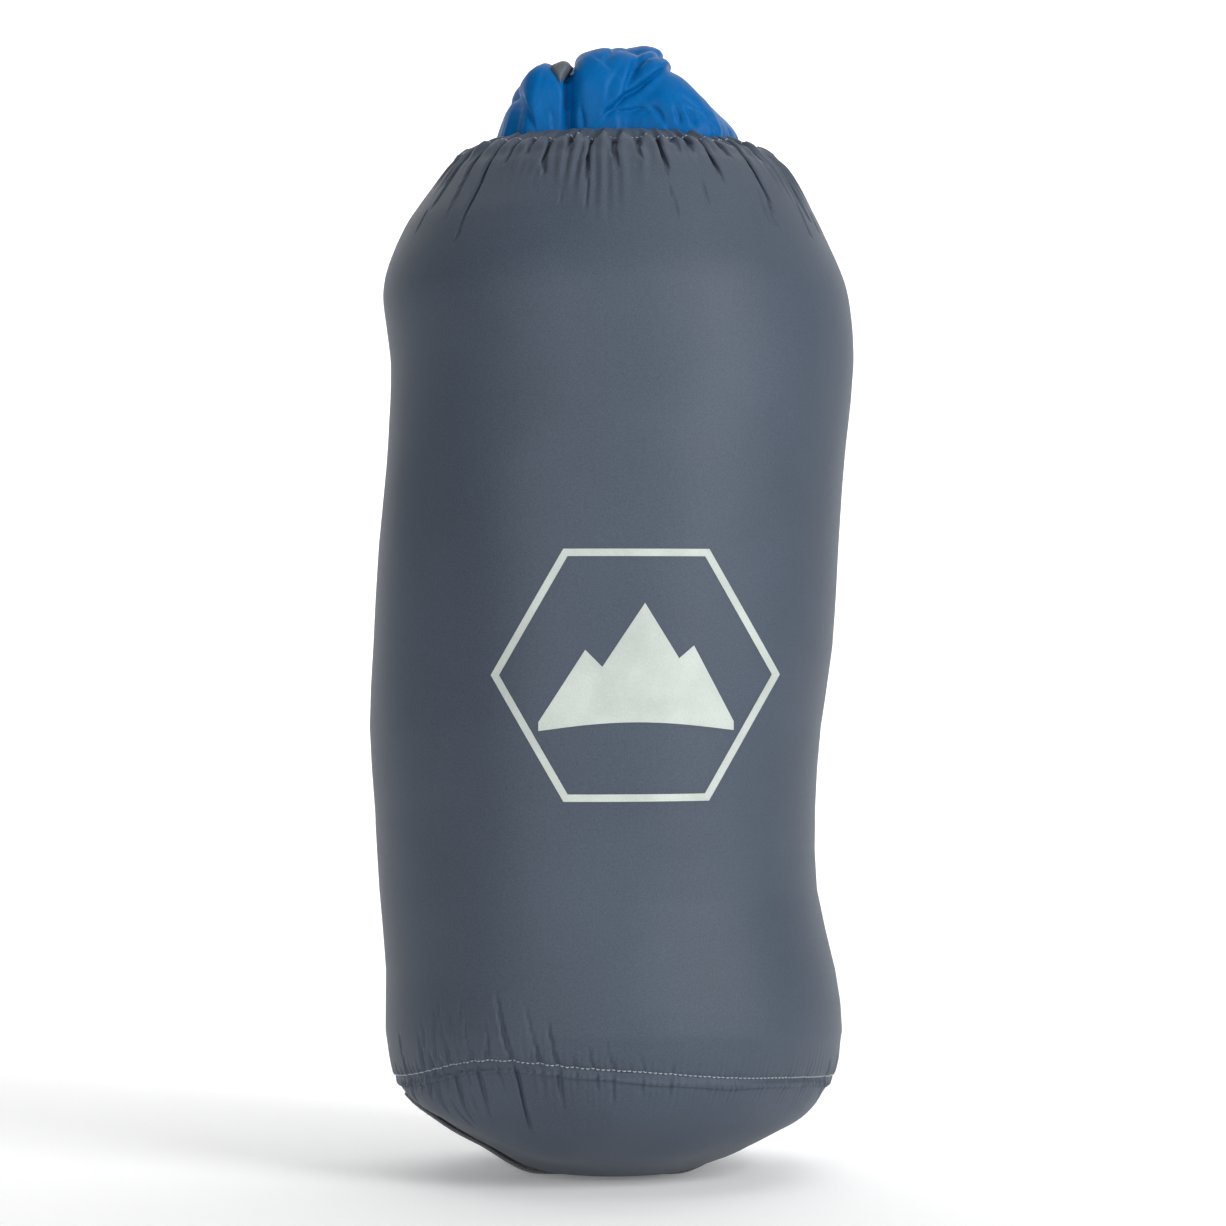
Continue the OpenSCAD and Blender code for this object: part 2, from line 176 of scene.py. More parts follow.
def tube(path, radius, sides=12, closed_ends=True):
    """Points and faces of a round tube along a path. radius is one number or one for each point."""
    path = np.asarray(path, float)
    n = len(path)
    along = unit(np.gradient(path, axis=0))
    side = unit(np.cross(along[0], [0.3, 0.5, 0.81]))
    verts = []
    radius = np.broadcast_to(radius, n)
    for i in range(n):
        side = unit(side - (side @ along[i]) * along[i])
        other = np.cross(along[i], side)
        for k in range(sides):
            a = TAU * k / sides
            verts.append(path[i] + radius[i] * (math.cos(a) * side + math.sin(a) * other))
    faces = [list(f) for f in grid_faces(n, sides, True)]
    if closed_ends:
        faces += [list(range(sides))[::-1], list(range((n - 1) * sides, n * sides))]
    return np.array(verts), faces


def joined(parts):
    """One list of points and faces from several."""
    verts, faces, start = [], [], 0
    for v, f in parts:
        verts.append(np.asarray(v).reshape(-1, 3))
        faces += [[i + start for i in face] for face in f]
        start += len(verts[-1])
    return np.concatenate(verts), faces


def bvh_of(node_or_piece):
    mesh = node_or_piece.data
    return BVHTree.FromPolygons([v.co[:] for v in mesh.vertices],
                                [p.vertices[:] for p in mesh.polygons])


def place(piece, body, slot, *nodes):
    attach(piece, body)
    if nodes:
        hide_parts(*nodes)


# ---- Materials -----------------------------------------------------------------------------

class Nodes:
    """A short way to write a node tree."""

    def __init__(self, name):
        self.material = bpy.data.materials.new(name)
        self.material.use_nodes = True
        self.tree = self.material.node_tree
        self.shader = self.tree.nodes["Principled BSDF"]

    def add(self, kind, **values):
        node = self.tree.nodes.new(kind)
        for key, value in values.items():
            if key in node.inputs:
                node.inputs[key].default_value = value
            else:
                setattr(node, key, value)
        return node

    def link(self, a, out, b, into):
        self.tree.links.new(a.outputs[out], b.inputs[into])

    def set(self, **values):
        for key, value in values.items():
            self.shader.inputs[key.replace("_", " ")].default_value = value
        return self

    def math(self, operation, a, b):
        node = self.add("ShaderNodeMath", operation=operation)
        for slot, value in enumerate((a, b)):
            if isinstance(value, tuple):
                self.tree.links.new(value[0].outputs[value[1]], node.inputs[slot])
            else:
                node.inputs[slot].default_value = value
        return node, "Value"

    def ramp(self, source, stops):
        node = self.add("ShaderNodeValToRGB")
        self.tree.links.new(source[0].outputs[source[1]], node.inputs["Fac"])
        elements = node.color_ramp.elements
        while len(elements) < len(stops):
            elements.new(0.5)
        for element, (at, color) in zip(elements, stops):
            element.position = at
            element.color = (*color, 1)
        return node, "Color"

    def noise(self, scale, detail=2.0, source=None, rough=0.5):
        node = self.add("ShaderNodeTexNoise", Scale=scale, Detail=detail, Roughness=rough)
        if source:
            self.tree.links.new(source[0].outputs[source[1]], node.inputs["Vector"])
        return node, "Fac"

    def bump(self, height, strength, distance, under=None):
        node = self.add("ShaderNodeBump", Strength=strength, Distance=distance)
        self.tree.links.new(height[0].outputs[height[1]], node.inputs["Height"])
        if under:
            self.tree.links.new(under.outputs["Normal"], node.inputs["Normal"])
        return node

    def use_bump(self, node):
        self.tree.links.new(node.outputs["Normal"], self.shader.inputs["Normal"])

    def use_color(self, source):
        self.tree.links.new(source[0].outputs[source[1]], self.shader.inputs["Base Color"])

    def use_roughness(self, source):
        self.tree.links.new(source[0].outputs[source[1]], self.shader.inputs["Roughness"])


def weave(n, pitch):
    """Height of a plain weave on the cloth's own coordinates."""
    uv = n.add("ShaderNodeUVMap", uv_map="cloth")
    warp = n.add("ShaderNodeTexWave", wave_type="BANDS", bands_direction="X", Scale=0.5 / pitch,
                 Distortion=0.4)
    weft = n.add("ShaderNodeTexWave", wave_type="BANDS", bands_direction="Y", Scale=0.5 / pitch,
                 Distortion=0.4)
    for wave in (warp, weft):
        n.link(uv, "UV", wave, "Vector")
    return n.math("MULTIPLY", (warp, "Fac"), (weft, "Fac"))


def nylon(name, dark, light, roughness, pitch=0.9 * MM, sheen=0.3, specular=0.45):
    """Coated nylon: a fine weave, a speckle of brighter yarns and slow changes of tone."""
    n = Nodes(name)
    place_at = n.add("ShaderNodeTexCoord")
    n.set(Sheen_Weight=sheen, Sheen_Roughness=0.45, Specular_IOR_Level=specular)
    speckle = n.noise(1400, 3.0, (place_at, "Object"), 0.75)
    broad = n.noise(14, 2.0, (place_at, "Object"))
    both = n.math("MULTIPLY_ADD", speckle, 0.8)
    both[0].inputs[2].default_value = 0.0
    tone = n.math("ADD", both, n.math("MULTIPLY", broad, 0.22))
    n.use_color(n.ramp(tone, [(0.30, dark), (0.72, light)]))
    n.use_roughness(n.ramp(speckle, [(0.3, (roughness - 0.06,) * 3), (0.7, (roughness + 0.08,) * 3)]))
    crinkle = n.noise(260, 3.0, (place_at, "Object"), 0.6)
    low = n.bump(crinkle, 0.25, 0.25 * MM)
    mid = n.bump(speckle, 0.25, 0.08 * MM, low)
    n.use_bump(n.bump(weave(n, pitch), 0.5, 0.1 * MM, mid))
    return n.material


SLATE = nylon("slate_nylon", (0.033, 0.044, 0.063), (0.066, 0.087, 0.122), 0.5, sheen=0.03, specular=0.32)
SLATE_INNER = nylon("slate_nylon_inner", (0.03, 0.036, 0.045), (0.06, 0.07, 0.085), 0.7, sheen=0.1)
BLUE = nylon("blue_shell", (0.0, 0.083, 0.262), (0.0, 0.12, 0.365), 0.44, 0.5 * MM, 0.0, 0.09)
LINING = nylon("grey_lining", (0.06, 0.072, 0.085), (0.12, 0.14, 0.165), 0.5, 0.5 * MM, 0.05, 0.2)


def thread_material():
    n = Nodes("sewing_thread")
    where = n.add("ShaderNodeTexCoord")
    strands = n.noise(3000, 2.0, (where, "Object"))
    n.use_color(n.ramp(strands, [(0.3, (0.22, 0.25, 0.28)), (0.7, (0.46, 0.5, 0.54))]))
    n.set(Roughness=0.55, Sheen_Weight=0.3)
    n.use_bump(n.bump(strands, 0.5, 0.1 * MM))
    return n.material


def ink_material():
    n = Nodes("screen_print_ink")
    where = n.add("ShaderNodeTexCoord")
    grain = n.noise(1400, 3.0, (where, "Object"), 0.7)
    patch = n.noise(60, 3.0, (where, "Object"))
    tone = n.math("ADD", n.math("MULTIPLY", grain, 0.5), n.math("MULTIPLY", patch, 0.5))
    n.use_color(n.ramp(tone, [(0.35, (0.40, 0.435, 0.41)), (0.62, (0.50, 0.545, 0.51))]))
    n.use_roughness(n.ramp(grain, [(0.3, (0.5,) * 3), (0.7, (0.66,) * 3)]))
    n.set(Specular_IOR_Level=0.3)
    n.use_bump(n.bump(grain, 0.35, 0.08 * MM))
    return n.material


def braid_material(name, dark, light, pitch):
    """Woven or braided yarns that cross each other, on the piece's cloth coordinates."""
    n = Nodes(name)
    uv = n.add("ShaderNodeUVMap", uv_map="cloth")
    a = n.add("ShaderNodeTexWave", wave_type="BANDS", bands_direction="DIAGONAL", Scale=0.35 / pitch,
              Distortion=0.6)
    turned = n.add("ShaderNodeMapping", Rotation=(0, 0, math.pi / 2))
    n.link(uv, "UV", turned, "Vector")
    b = n.add("ShaderNodeTexWave", wave_type="BANDS", bands_direction="DIAGONAL", Scale=0.35 / pitch,
              Distortion=0.6)
    n.link(uv, "UV", a, "Vector")
    n.link(turned, "Vector", b, "Vector")
    height = n.math("MAXIMUM", (a, "Fac"), (b, "Fac"))
    n.use_color(n.ramp(height, [(0.25, dark), (0.9, light)]))
    n.set(Roughness=0.7, Sheen_Weight=0.25)
    n.use_bump(n.bump(height, 0.8, 0.25 * MM))
    return n.material


def plastic_material(name, dark, light, roughness):
    n = Nodes(name)
    where = n.add("ShaderNodeTexCoord")
    grain = n.noise(1800, 3.0, (where, "Object"))
    scuff = n.noise(120, 4.0, (where, "Object"), 0.7)
    n.use_color(n.ramp(scuff, [(0.35, dark), (0.75, light)]))
    n.use_roughness(n.ramp(scuff, [(0.3, (roughness,) * 3), (0.7, (roughness + 0.2,) * 3)]))
    n.use_bump(n.bump(grain, 0.3, 0.05 * MM))
    return n.material


def steel_material():
    n = Nodes("spring_steel")
    where = n.add("ShaderNodeTexCoord")
    drawn = n.noise(900, 3.0, (where, "Object"))
    n.use_color(n.ramp(drawn, [(0.3, (0.42, 0.42, 0.43)), (0.7, (0.6, 0.6, 0.61))]))
    n.use_roughness(n.ramp(drawn, [(0.3, (0.25,) * 3), (0.7, (0.4,) * 3)]))
    n.set(Metallic=1.0)
    return n.material


THREAD = thread_material()
INK = ink_material()
WEBBING = braid_material("woven_webbing", (0.05, 0.053, 0.06), (0.145, 0.15, 0.165), 1.6 * MM)
CORD = braid_material("braided_cord", (0.008, 0.008, 0.009), (0.045, 0.045, 0.05), 0.9 * MM)
LOCK_PLASTIC = plastic_material("lock_plastic", (0.012, 0.012, 0.014), (0.03, 0.03, 0.034), 0.35)
BUTTON_PLASTIC = plastic_material("button_plastic", (0.03, 0.03, 0.034), (0.055, 0.055, 0.06), 0.3)
STEEL = steel_material()

# ---- Smooth skins read from the CAD solids ---------------------------------------------------

TABLE_ANGLES = 120
BODY_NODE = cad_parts["body_panel"]
BASE_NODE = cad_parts["base_panel"]
body_low, body_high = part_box("body_panel")
casing_low, casing_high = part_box("drawcord_casing")
SEAM_Z = 0.048
SHOULDER_TOP = body_high[2]


def circular_blur(table, reach):
    """Averages each row of a table round the circle, which takes the facets out of it."""
    out = sum(np.roll(table, k, axis=-1) for k in range(-reach, reach + 1))
    return out / (2 * reach + 1)


def skin_table(node, heights):
    """Radius of a CAD solid's outside about the Z axis, by height and angle."""
    tree = bvh_of(node)
    angles = np.arange(TABLE_ANGLES) * TAU / TABLE_ANGLES
    table = np.zeros((len(heights), TABLE_ANGLES))
    for i, z in enumerate(heights):
        for j, u in enumerate(angles):
            way = Vector((math.cos(u), math.sin(u), 0))
            hit = tree.ray_cast(Vector((0, 0, z)) + way * 0.4, -way)[0]
            table[i, j] = math.hypot(hit.x, hit.y) if hit else np.nan
    for j in range(TABLE_ANGLES):
        column = table[:, j]
        good = ~np.isnan(column)
        table[:, j] = np.interp(heights, heights[good], column[good])
    return circular_blur(circular_blur(table, 3), 3)


SKIN_HEIGHTS = np.arange(0.050, SHOULDER_TOP - 0.0002, 0.0025)
SKIN = skin_table(BODY_NODE, SKIN_HEIGHTS)


def skin_radius(u, z):
    """Radius of the body's outside at angle u and height z."""
    row = np.clip((z - SKIN_HEIGHTS[0]) / 0.0025, 0, len(SKIN_HEIGHTS) - 1.001)
    col = (u % TAU) / TAU * TABLE_ANGLES
    i, j = row.astype(int), col.astype(int) % TABLE_ANGLES
    a, b = row - i, col - np.floor(col)
    k = (j + 1) % TABLE_ANGLES
    return ((SKIN[i, j] * (1 - b) + SKIN[i, k] * b) * (1 - a)
            + (SKIN[i + 1, j] * (1 - b) + SKIN[i + 1, k] * b) * a)


def seam_lift(u):
    """How far the base seam stands above its height at the sides."""
    return (8 * np.sin(u) ** 2 - 5 * np.sin(u)) * MM


# ---- Cloth that settles by itself ----------------------------------------------------------

COLS = 432
FLAT_WIDTH = 0.722
ANGLES = np.arange(COLS) * TAU / COLS
BACK_COL = COLS // 4


def alternate(count, gap):
    """Two lists of rows, each of which has pairs (i, i + gap) that share no row."""
    i = np.arange(count - gap)
    return [i[(i // gap) % 2 == start] for start in (0, 1)]


def relax(x, pinned, surface, normal, low, high, rest_u, rest_v, steps, bend=0.18, press=0.00004):
    """Position-based cloth: keeps the cloth's lengths, pushes it out and holds it near a surface.
    Rows run down the sack, and columns close round it. rest_u is the distance from each column to
    the next and rest_v from each row to the next, by row and column or one number for all."""
    rows, cols = x.shape[:2]
    free = (~pinned)[:, None, None].astype(float)
    rest_u = np.broadcast_to(rest_u, (rows, cols))[..., None]
    rest_v = np.broadcast_to(rest_v, (rows - 1, cols))[..., None]
    last = x.copy()

    def correction(a, b, rest, stiffness):
        d = b - a
        length = np.linalg.norm(d, axis=-1, keepdims=True)
        return stiffness * (1 - rest / np.maximum(length, 1e-9)) * d

    def across(gap, stiffness):
        for start in (0, 1):
            i = np.arange(cols)
            i = i[(i // gap) % 2 == start]
            k = (i + gap) % cols
            move = correction(x[:, i], x[:, k], gap * rest_u[:, i], stiffness) * 0.5 * free
            x[:, i] += move
            x[:, k] -= move

    def along(gap, shift, rest, stiffness):
        for i in alternate(rows, gap):
            below = np.roll(x[i + gap], -shift, axis=1)
            wa, wb = free[i], free[i + gap]
            move = correction(x[i], below, rest[i], stiffness) / np.maximum(wa + wb, 1e-9)
            x[i] += move * wa
            x[i + gap] = np.roll(below - move * wb, shift, axis=1)

    slant = np.hypot((rest_u[:-1] + rest_u[1:]) / 2, rest_v)
    two_down = rest_v[:-1] + rest_v[1:]
    for _ in range(steps):
        speed = (x - last) * 0.85
        last = x.copy()
        x += (speed - grid_normals(x) * press) * free
        for _ in range(3):
            across(1, 1.0)
            along(1, 0, rest_v, 1.0)
            along(1, 1, slant, 0.25)
            along(1, -1, slant, 0.25)
            across(2, bend)
            along(2, 0, two_down, bend)
        off = ((x - surface) * normal).sum(axis=-1, keepdims=True)
        x += normal * (np.clip(off, low, high) - off) * free
    return x


def grid_lengths(x):
    """Distances from each column to the next, and from each row to the next."""
    return (np.linalg.norm(np.roll(x, -1, axis=1) - x, axis=2),
            np.linalg.norm(np.diff(x, axis=0), axis=2))


# ---- Gathered top: rows run from the rim down over the shoulder ----------------------------------

RIM_R = 0.060
RIM_Z = 0.5065
CASING_SLOPE = math.radians(30)
CASING_W = 0.013
CASING_HALF = 0.0026
STEP_DOWN = 0.0019
SIM_FOOT = 0.385
PLEATS = 46
CASING_ROWS = int(CASING_W / STEP_DOWN) + 1


def pleat_phase():
    """Phase of the pleats round the mouth, with pleats of uneven width."""
    widths = np.random.default_rng(21).uniform(0.4, 1.7, PLEATS)
    edges = np.concatenate([[0], np.cumsum(widths)]) / widths.sum() * TAU
    return np.interp(ANGLES, edges, np.arange(PLEATS + 1) * TAU), widths / widths.mean()


PHASE, PLEAT_WIDTHS = pleat_phase()
PLEAT_OF = np.minimum((PHASE / TAU).astype(int), PLEATS - 1)


def fold_wave(phase):
    """A fold's outline: rounded ridges and narrower valleys, from -1 to 1."""
    return np.cos(phase) * 0.85 + 0.22 * np.cos(2 * phase + 0.5)


def circle_blend(values):
    """One value for each pleat, joined smoothly round the mouth."""
    out = np.asarray(values)[PLEAT_OF]
    return sum(np.roll(out, k) for k in range(-5, 6)) / 11


def meridian(u):
    """Outline of the casing and shoulder at angle u, from the rim down to the foot, as r and z."""
    along = np.linspace(0, CASING_W, 8)
    r = RIM_R + along * math.cos(CASING_SLOPE) + CASING_HALF * math.sin(CASING_SLOPE)
    z = RIM_Z - along * math.sin(CASING_SLOPE) + CASING_HALF * math.cos(CASING_SLOPE)
    heights = np.arange(SHOULDER_TOP - 0.004, SIM_FOOT - 0.001, -0.0025)
    skin = skin_radius(np.full(len(heights), u), heights)
    return np.stack([np.concatenate([r, skin]), np.concatenate([z, heights])], axis=1)


def shoulder_surface():
    """Smooth surface that the gathered cloth lies round: rows of points from the rim down."""
    outlines = [meridian(u) for u in ANGLES]
    length = np.mean([np.linalg.norm(np.diff(o, axis=0), axis=1).sum() for o in outlines])
    rows = int(length / STEP_DOWN) + 1
    out = np.zeros((rows, COLS, 3))
    for j, outline in enumerate(outlines):
        line = resample(outline, rows)
        out[:, j] = np.stack([line[:, 0] * math.cos(ANGLES[j]), line[:, 0] * math.sin(ANGLES[j]),
                              line[:, 1]], axis=1)
    for _ in range(6):
        out[1:-1] = 0.25 * out[:-2] + 0.5 * out[1:-1] + 0.25 * out[2:]
    return out


def gathered_top():
    """The gathered shoulder and casing, after the cloth has settled."""
    surface = shoulder_surface()
    rows = len(surface)
    r = np.random.default_rng(4)
    normal = -grid_normals(surface)
    down = np.arange(rows)[:, None] * STEP_DOWN
    sunk = 0.003 * smoothstep(0.010, 0.024, down) * smoothstep(0.430, 0.465, surface[..., 2])
    surface = surface - normal * sunk[..., None]
    radius = np.hypot(surface[..., 0], surface[..., 1])
    excess = np.maximum(FLAT_WIDTH / (TAU * radius.mean(axis=1, keepdims=True)) - 1, 0)
    ends = circle_blend(r.uniform(0.03, 0.085, PLEATS))
    depth = circle_blend(r.uniform(0.7, 1.25, PLEATS) * PLEAT_WIDTHS)
    under_lock = np.exp(-(wrap(ANGLES - BACK) / 0.17) ** 2)
    height = (TAU * radius / PLEATS) / math.pi * np.sqrt(excess) * depth
    rim_share = circle_blend(r.uniform(-0.1, 0.35, PLEATS) + 0.6 * (r.uniform(0, 1, PLEATS) < 0.2))
    height = height * (rim_share + (0.66 - rim_share) * smoothstep(0.001, 0.008, down)
                       + 0.34 * smoothstep(0.010, 0.018, down))
    height = height * (1 - smoothstep(ends * 0.25, ends, down)) * (1 - 0.85 * under_lock)
    fold = height * fold_wave(PHASE + 5 * down)
    hem = down < 0.0065
    fold = np.where(hem, np.maximum(fold, -0.0010 + 0.15 * fold), fold)
    x = surface + normal * fold[..., None]
    pinned = np.zeros(rows, bool)
    pinned[:CASING_ROWS - 1] = True
    pinned[-3:] = True
    settle = smoothstep(0, 0.035, surface[..., 2] - SIM_FOOT)[..., None]
    calm = smoothstep(0.020, 0.050, down) * (0.35 + 0.65 * np.sin(ANGLES) ** 2)
    low = -((0.0002 + np.minimum(excess * 0.026, 0.0105)) * (1 - 0.6 * calm))[..., None] * settle
    high = (0.0002 + np.minimum(excess * 0.012, 0.005)) * (1 - 0.8 * under_lock) * (1 - 0.6 * calm)
    high = high[..., None] * settle
    steps = 90
    taken_up = 0.92 * smoothstep(0.012, 0.040, down) * (0.45 + 0.55 * np.sin(ANGLES) ** 2)
    rest_u = FLAT_WIDTH / COLS * (1 - taken_up) + 1.01 * TAU * radius / COLS * taken_up
    x = relax(x, pinned, surface, normal, low, high, rest_u, STEP_DOWN, steps, 0.15)
    fine = np.zeros(COLS)
    for k in range(58, 120, 7):
        fine += r.uniform(0.4, 1) * np.sin(k * ANGLES + r.uniform(0, TAU) + 2 * np.sin(3 * ANGLES + k))
    reach = 0.045 + 0.02 * np.sin(4 * ANGLES + 2) + 0.012 * np.sin(11 * ANGLES)
    flank = 1 + 1.3 * np.cos(ANGLES) ** 2
    fine = 0.00016 * flank * fine * smoothstep(0, 0.004, down) * (1 - smoothstep(reach * 0.5, reach, down))
    return x - grid_normals(x) * fine[..., None]


top = gathered_top()
top_normals = -grid_normals(top)


def rim_roll():
    """Rows that carry the cloth over the cord at the rim and down inside the mouth."""
    first = top[0]
    outward = np.array([math.sin(CASING_SLOPE), math.cos(CASING_SLOPE)])
    back = np.array([-math.cos(CASING_SLOPE), math.sin(CASING_SLOPE)])
    flare = np.hypot(first[:, 0], first[:, 1]) - (RIM_R + CASING_HALF * outward[0])
    lift = first[:, 2] - (RIM_Z + CASING_HALF * outward[1])
    rows = []
    for a in np.radians([25, 50, 75, 100, 125, 150, 180]):
        r, z = CASING_HALF * (math.cos(a) * outward + math.sin(a) * back)
        keep = math.cos(a / 2) ** 2 * 0.7 + 0.3
        rows.append((RIM_R + r + flare * keep, RIM_Z + z + lift * keep))
    for s in (0.003, 0.006, 0.010):
        rows.append((RIM_R - CASING_HALF * outward[0] + s * 0.26 + flare * 0.3,
                     RIM_Z - CASING_HALF * outward[1] - s + lift * 0.3))
    return np.array([np.stack([r * np.cos(ANGLES), r * np.sin(ANGLES), z], axis=1)
                     for r, z in rows[::-1]])


casing_grid = np.concatenate([rim_roll(), top[:CASING_ROWS]])[::-1]
SLIT_COLS = 6
casing_faces = [f for f in grid_faces(len(casing_grid), COLS, True)
                if abs(f[0] % COLS - BACK_COL + 0.5) > SLIT_COLS]
casing = make_mesh("gathered_casing", casing_grid, casing_faces, None, SLATE)
casing_uv = casing.data.uv_layers.new(name="cloth")
loop_point = np.array([loop.vertex_index for loop in casing.data.loops])
casing_uv.data.foreach_set("uv", np.stack([
    loop_point % COLS * FLAT_WIDTH / COLS, loop_point // COLS * STEP_DOWN], axis=1).reshape(-1))
add_subdivision(casing)
place(casing, "sack", "sack_nylon", "drawcord_casing")


# ---- Body and base, gathered along the base seam ------------------------------------------------

def seam_noise(seed, amount, waves):
    """Uneven folds round a seam, by angle."""
    r = np.random.default_rng(seed)
    out = np.zeros(COLS)
    for k in waves:
        out += r.uniform(0.3, 1) * np.sin(k * ANGLES + r.uniform(0, TAU)
                                          + r.uniform(1, 3) * np.sin(ANGLES * r.integers(2, 7)))
    return amount * out / math.sqrt(len(waves))


SEAM = (SEAM_Z + seam_lift(ANGLES) + 0.0065 * np.exp(-(wrap(ANGLES - math.radians(236)) / 0.38) ** 2)
        - 0.002 * np.exp(-(wrap(ANGLES - math.radians(300)) / 0.35) ** 2))
SEAM_INSET = 0.0006
SEAM_FOLDS = seam_noise(5, 0.0006, range(60, 100, 4)) + seam_noise(6, 0.0006, range(24, 60, 5))
LOOSE = 0.75 + 1.1 * np.exp(-(wrap(ANGLES - math.radians(222)) / 0.5) ** 2) + 0.35 * np.sin(3 * ANGLES + 1)


def seam_share(away):
    """How much of its depth a fold has at a distance from the seam, where the stitches hold it."""
    return 0.4 + 0.8 * smoothstep(0, 0.006, away)


def lower_body():
    """Cloth from the gathered top down to the base seam, after it has settled."""
    foot = top[-1]
    rows = 172
    share = np.linspace(0, 1, rows)[:, None]
    z = foot[None, :, 2] + (SEAM - foot[:, 2]) * share
    above = z - SEAM
    r = skin_radius(np.broadcast_to(ANGLES, z.shape), z) - SEAM_INSET * np.exp(-above / 0.004)
    x = np.stack([r * np.cos(ANGLES), r * np.sin(ANGLES), z], axis=-1)
    normal = -grid_normals(x)
    soft = noise(x * [1, 1, 0.5], noise_waves(3, 14, 6, 16)) * 0.0007
    x += normal * (soft * smoothstep(0, 0.02, above) * smoothstep(0.385, 0.34, z))[..., None]
    near_top = smoothstep(0.1, 0.0, share)[..., None]
    x = x * (1 - near_top) + (x - x[:1] + foot[None]) * near_top
    start = int(rows * 0.62)
    part, n = x[start:].copy(), normal[start:]
    up = above[start:]
    across, along = grid_lengths(part)
    rest_u = across * (1 + 0.085 * LOOSE * np.exp(-up / (0.010 + 0.009 * LOOSE)))
    surface = part.copy()
    folds = np.interp((ANGLES + up * 2.5) % TAU, np.append(ANGLES, TAU), np.append(SEAM_FOLDS, SEAM_FOLDS[0]))
    part += n * (folds * LOOSE * seam_share(up) * np.exp(-up / (0.009 + 0.008 * LOOSE)))[..., None]
    pinned = np.zeros(len(part), bool)
    pinned[:2] = pinned[-1:] = True
    low = -0.0034 * np.exp(-up / 0.04)[..., None]
    high = 0.0014 * np.exp(-up / 0.05)[..., None]
    steps = 60
    x[start:] = relax(part, pinned, surface, n, low, high, rest_u, along, steps, 0.09)
    return x


lower = lower_body()
edge_r = np.hypot(lower[-1, :, 0], lower[-1, :, 1])
tuck = np.array([np.stack([(edge_r - a) * np.cos(ANGLES), (edge_r - a) * np.sin(ANGLES),
                           lower[-1, :, 2] - b], axis=1)
                 for a, b in ((0.0006, 0.0007), (0.0018, 0.0009), (0.0035, 0.0002))])
body_grid = np.concatenate([top[CASING_ROWS - 1:-1], lower, tuck])
body_length = float(np.linalg.norm(np.diff(body_grid[:, 0], axis=0), axis=1).sum())
FINE = 3
FINE_COLS = COLS * FINE
FINE_ANGLES = np.arange(FINE_COLS) * TAU / FINE_COLS


def finer(grid):
    """The same grid with three columns for each one, on smooth curves round the sack."""
    a, b, c, d = np.roll(grid, 1, axis=1), grid, np.roll(grid, -1, axis=1), np.roll(grid, -2, axis=1)
    out = np.zeros((len(grid), COLS, FINE, 3))
    for k in range(FINE):
        f = k / FINE
        out[:, :, k] = 0.5 * (2 * b + (c - a) * f + (2 * a - 5 * b + 4 * c - d) * f ** 2
                              + (3 * b - a - 3 * c + d) * f ** 3)
    return out.reshape(len(grid), FINE_COLS, 3)


def puckers(seed, waves):
    """Small uneven puckers that a row of stitches draws up, by fine column."""
    r = np.random.default_rng(seed)
    out = np.zeros(FINE_COLS)
    for k in waves:
        bend = r.uniform(1, 2.5) * np.sin(FINE_ANGLES * r.integers(3, 9))
        out += r.uniform(0.4, 1) * np.sin(k * FINE_ANGLES + r.uniform(0, TAU) + bend)
    return out / math.sqrt(len(waves))


STITCH_PUCKERS = puckers(12, range(150, 262, 12))
PATCHY = 0.55 + 0.45 * np.sin(7 * FINE_ANGLES + 2 * np.sin(3 * FINE_ANGLES) + 0.6)
body_fine = finer(body_grid)
body_up = (body_fine[..., 2] - np.repeat(SEAM, FINE))
short = np.exp(-np.maximum(body_up, 0) / (0.0035 + 0.0045 * PATCHY)) * smoothstep(-0.0005, 0.0012, body_up)
body_fine += -grid_normals(body_fine) * (0.00030 * STITCH_PUCKERS * short)[..., None]
body = grid_mesh("body_cloth", body_fine, True, SLATE, (FLAT_WIDTH, body_length))
place(body, "sack", "sack_nylon", "body_panel")
print("body cloth", body_grid.shape, "length", round(body_length, 4))

DOME_CENTRE = np.array([0, 0, 0.060])


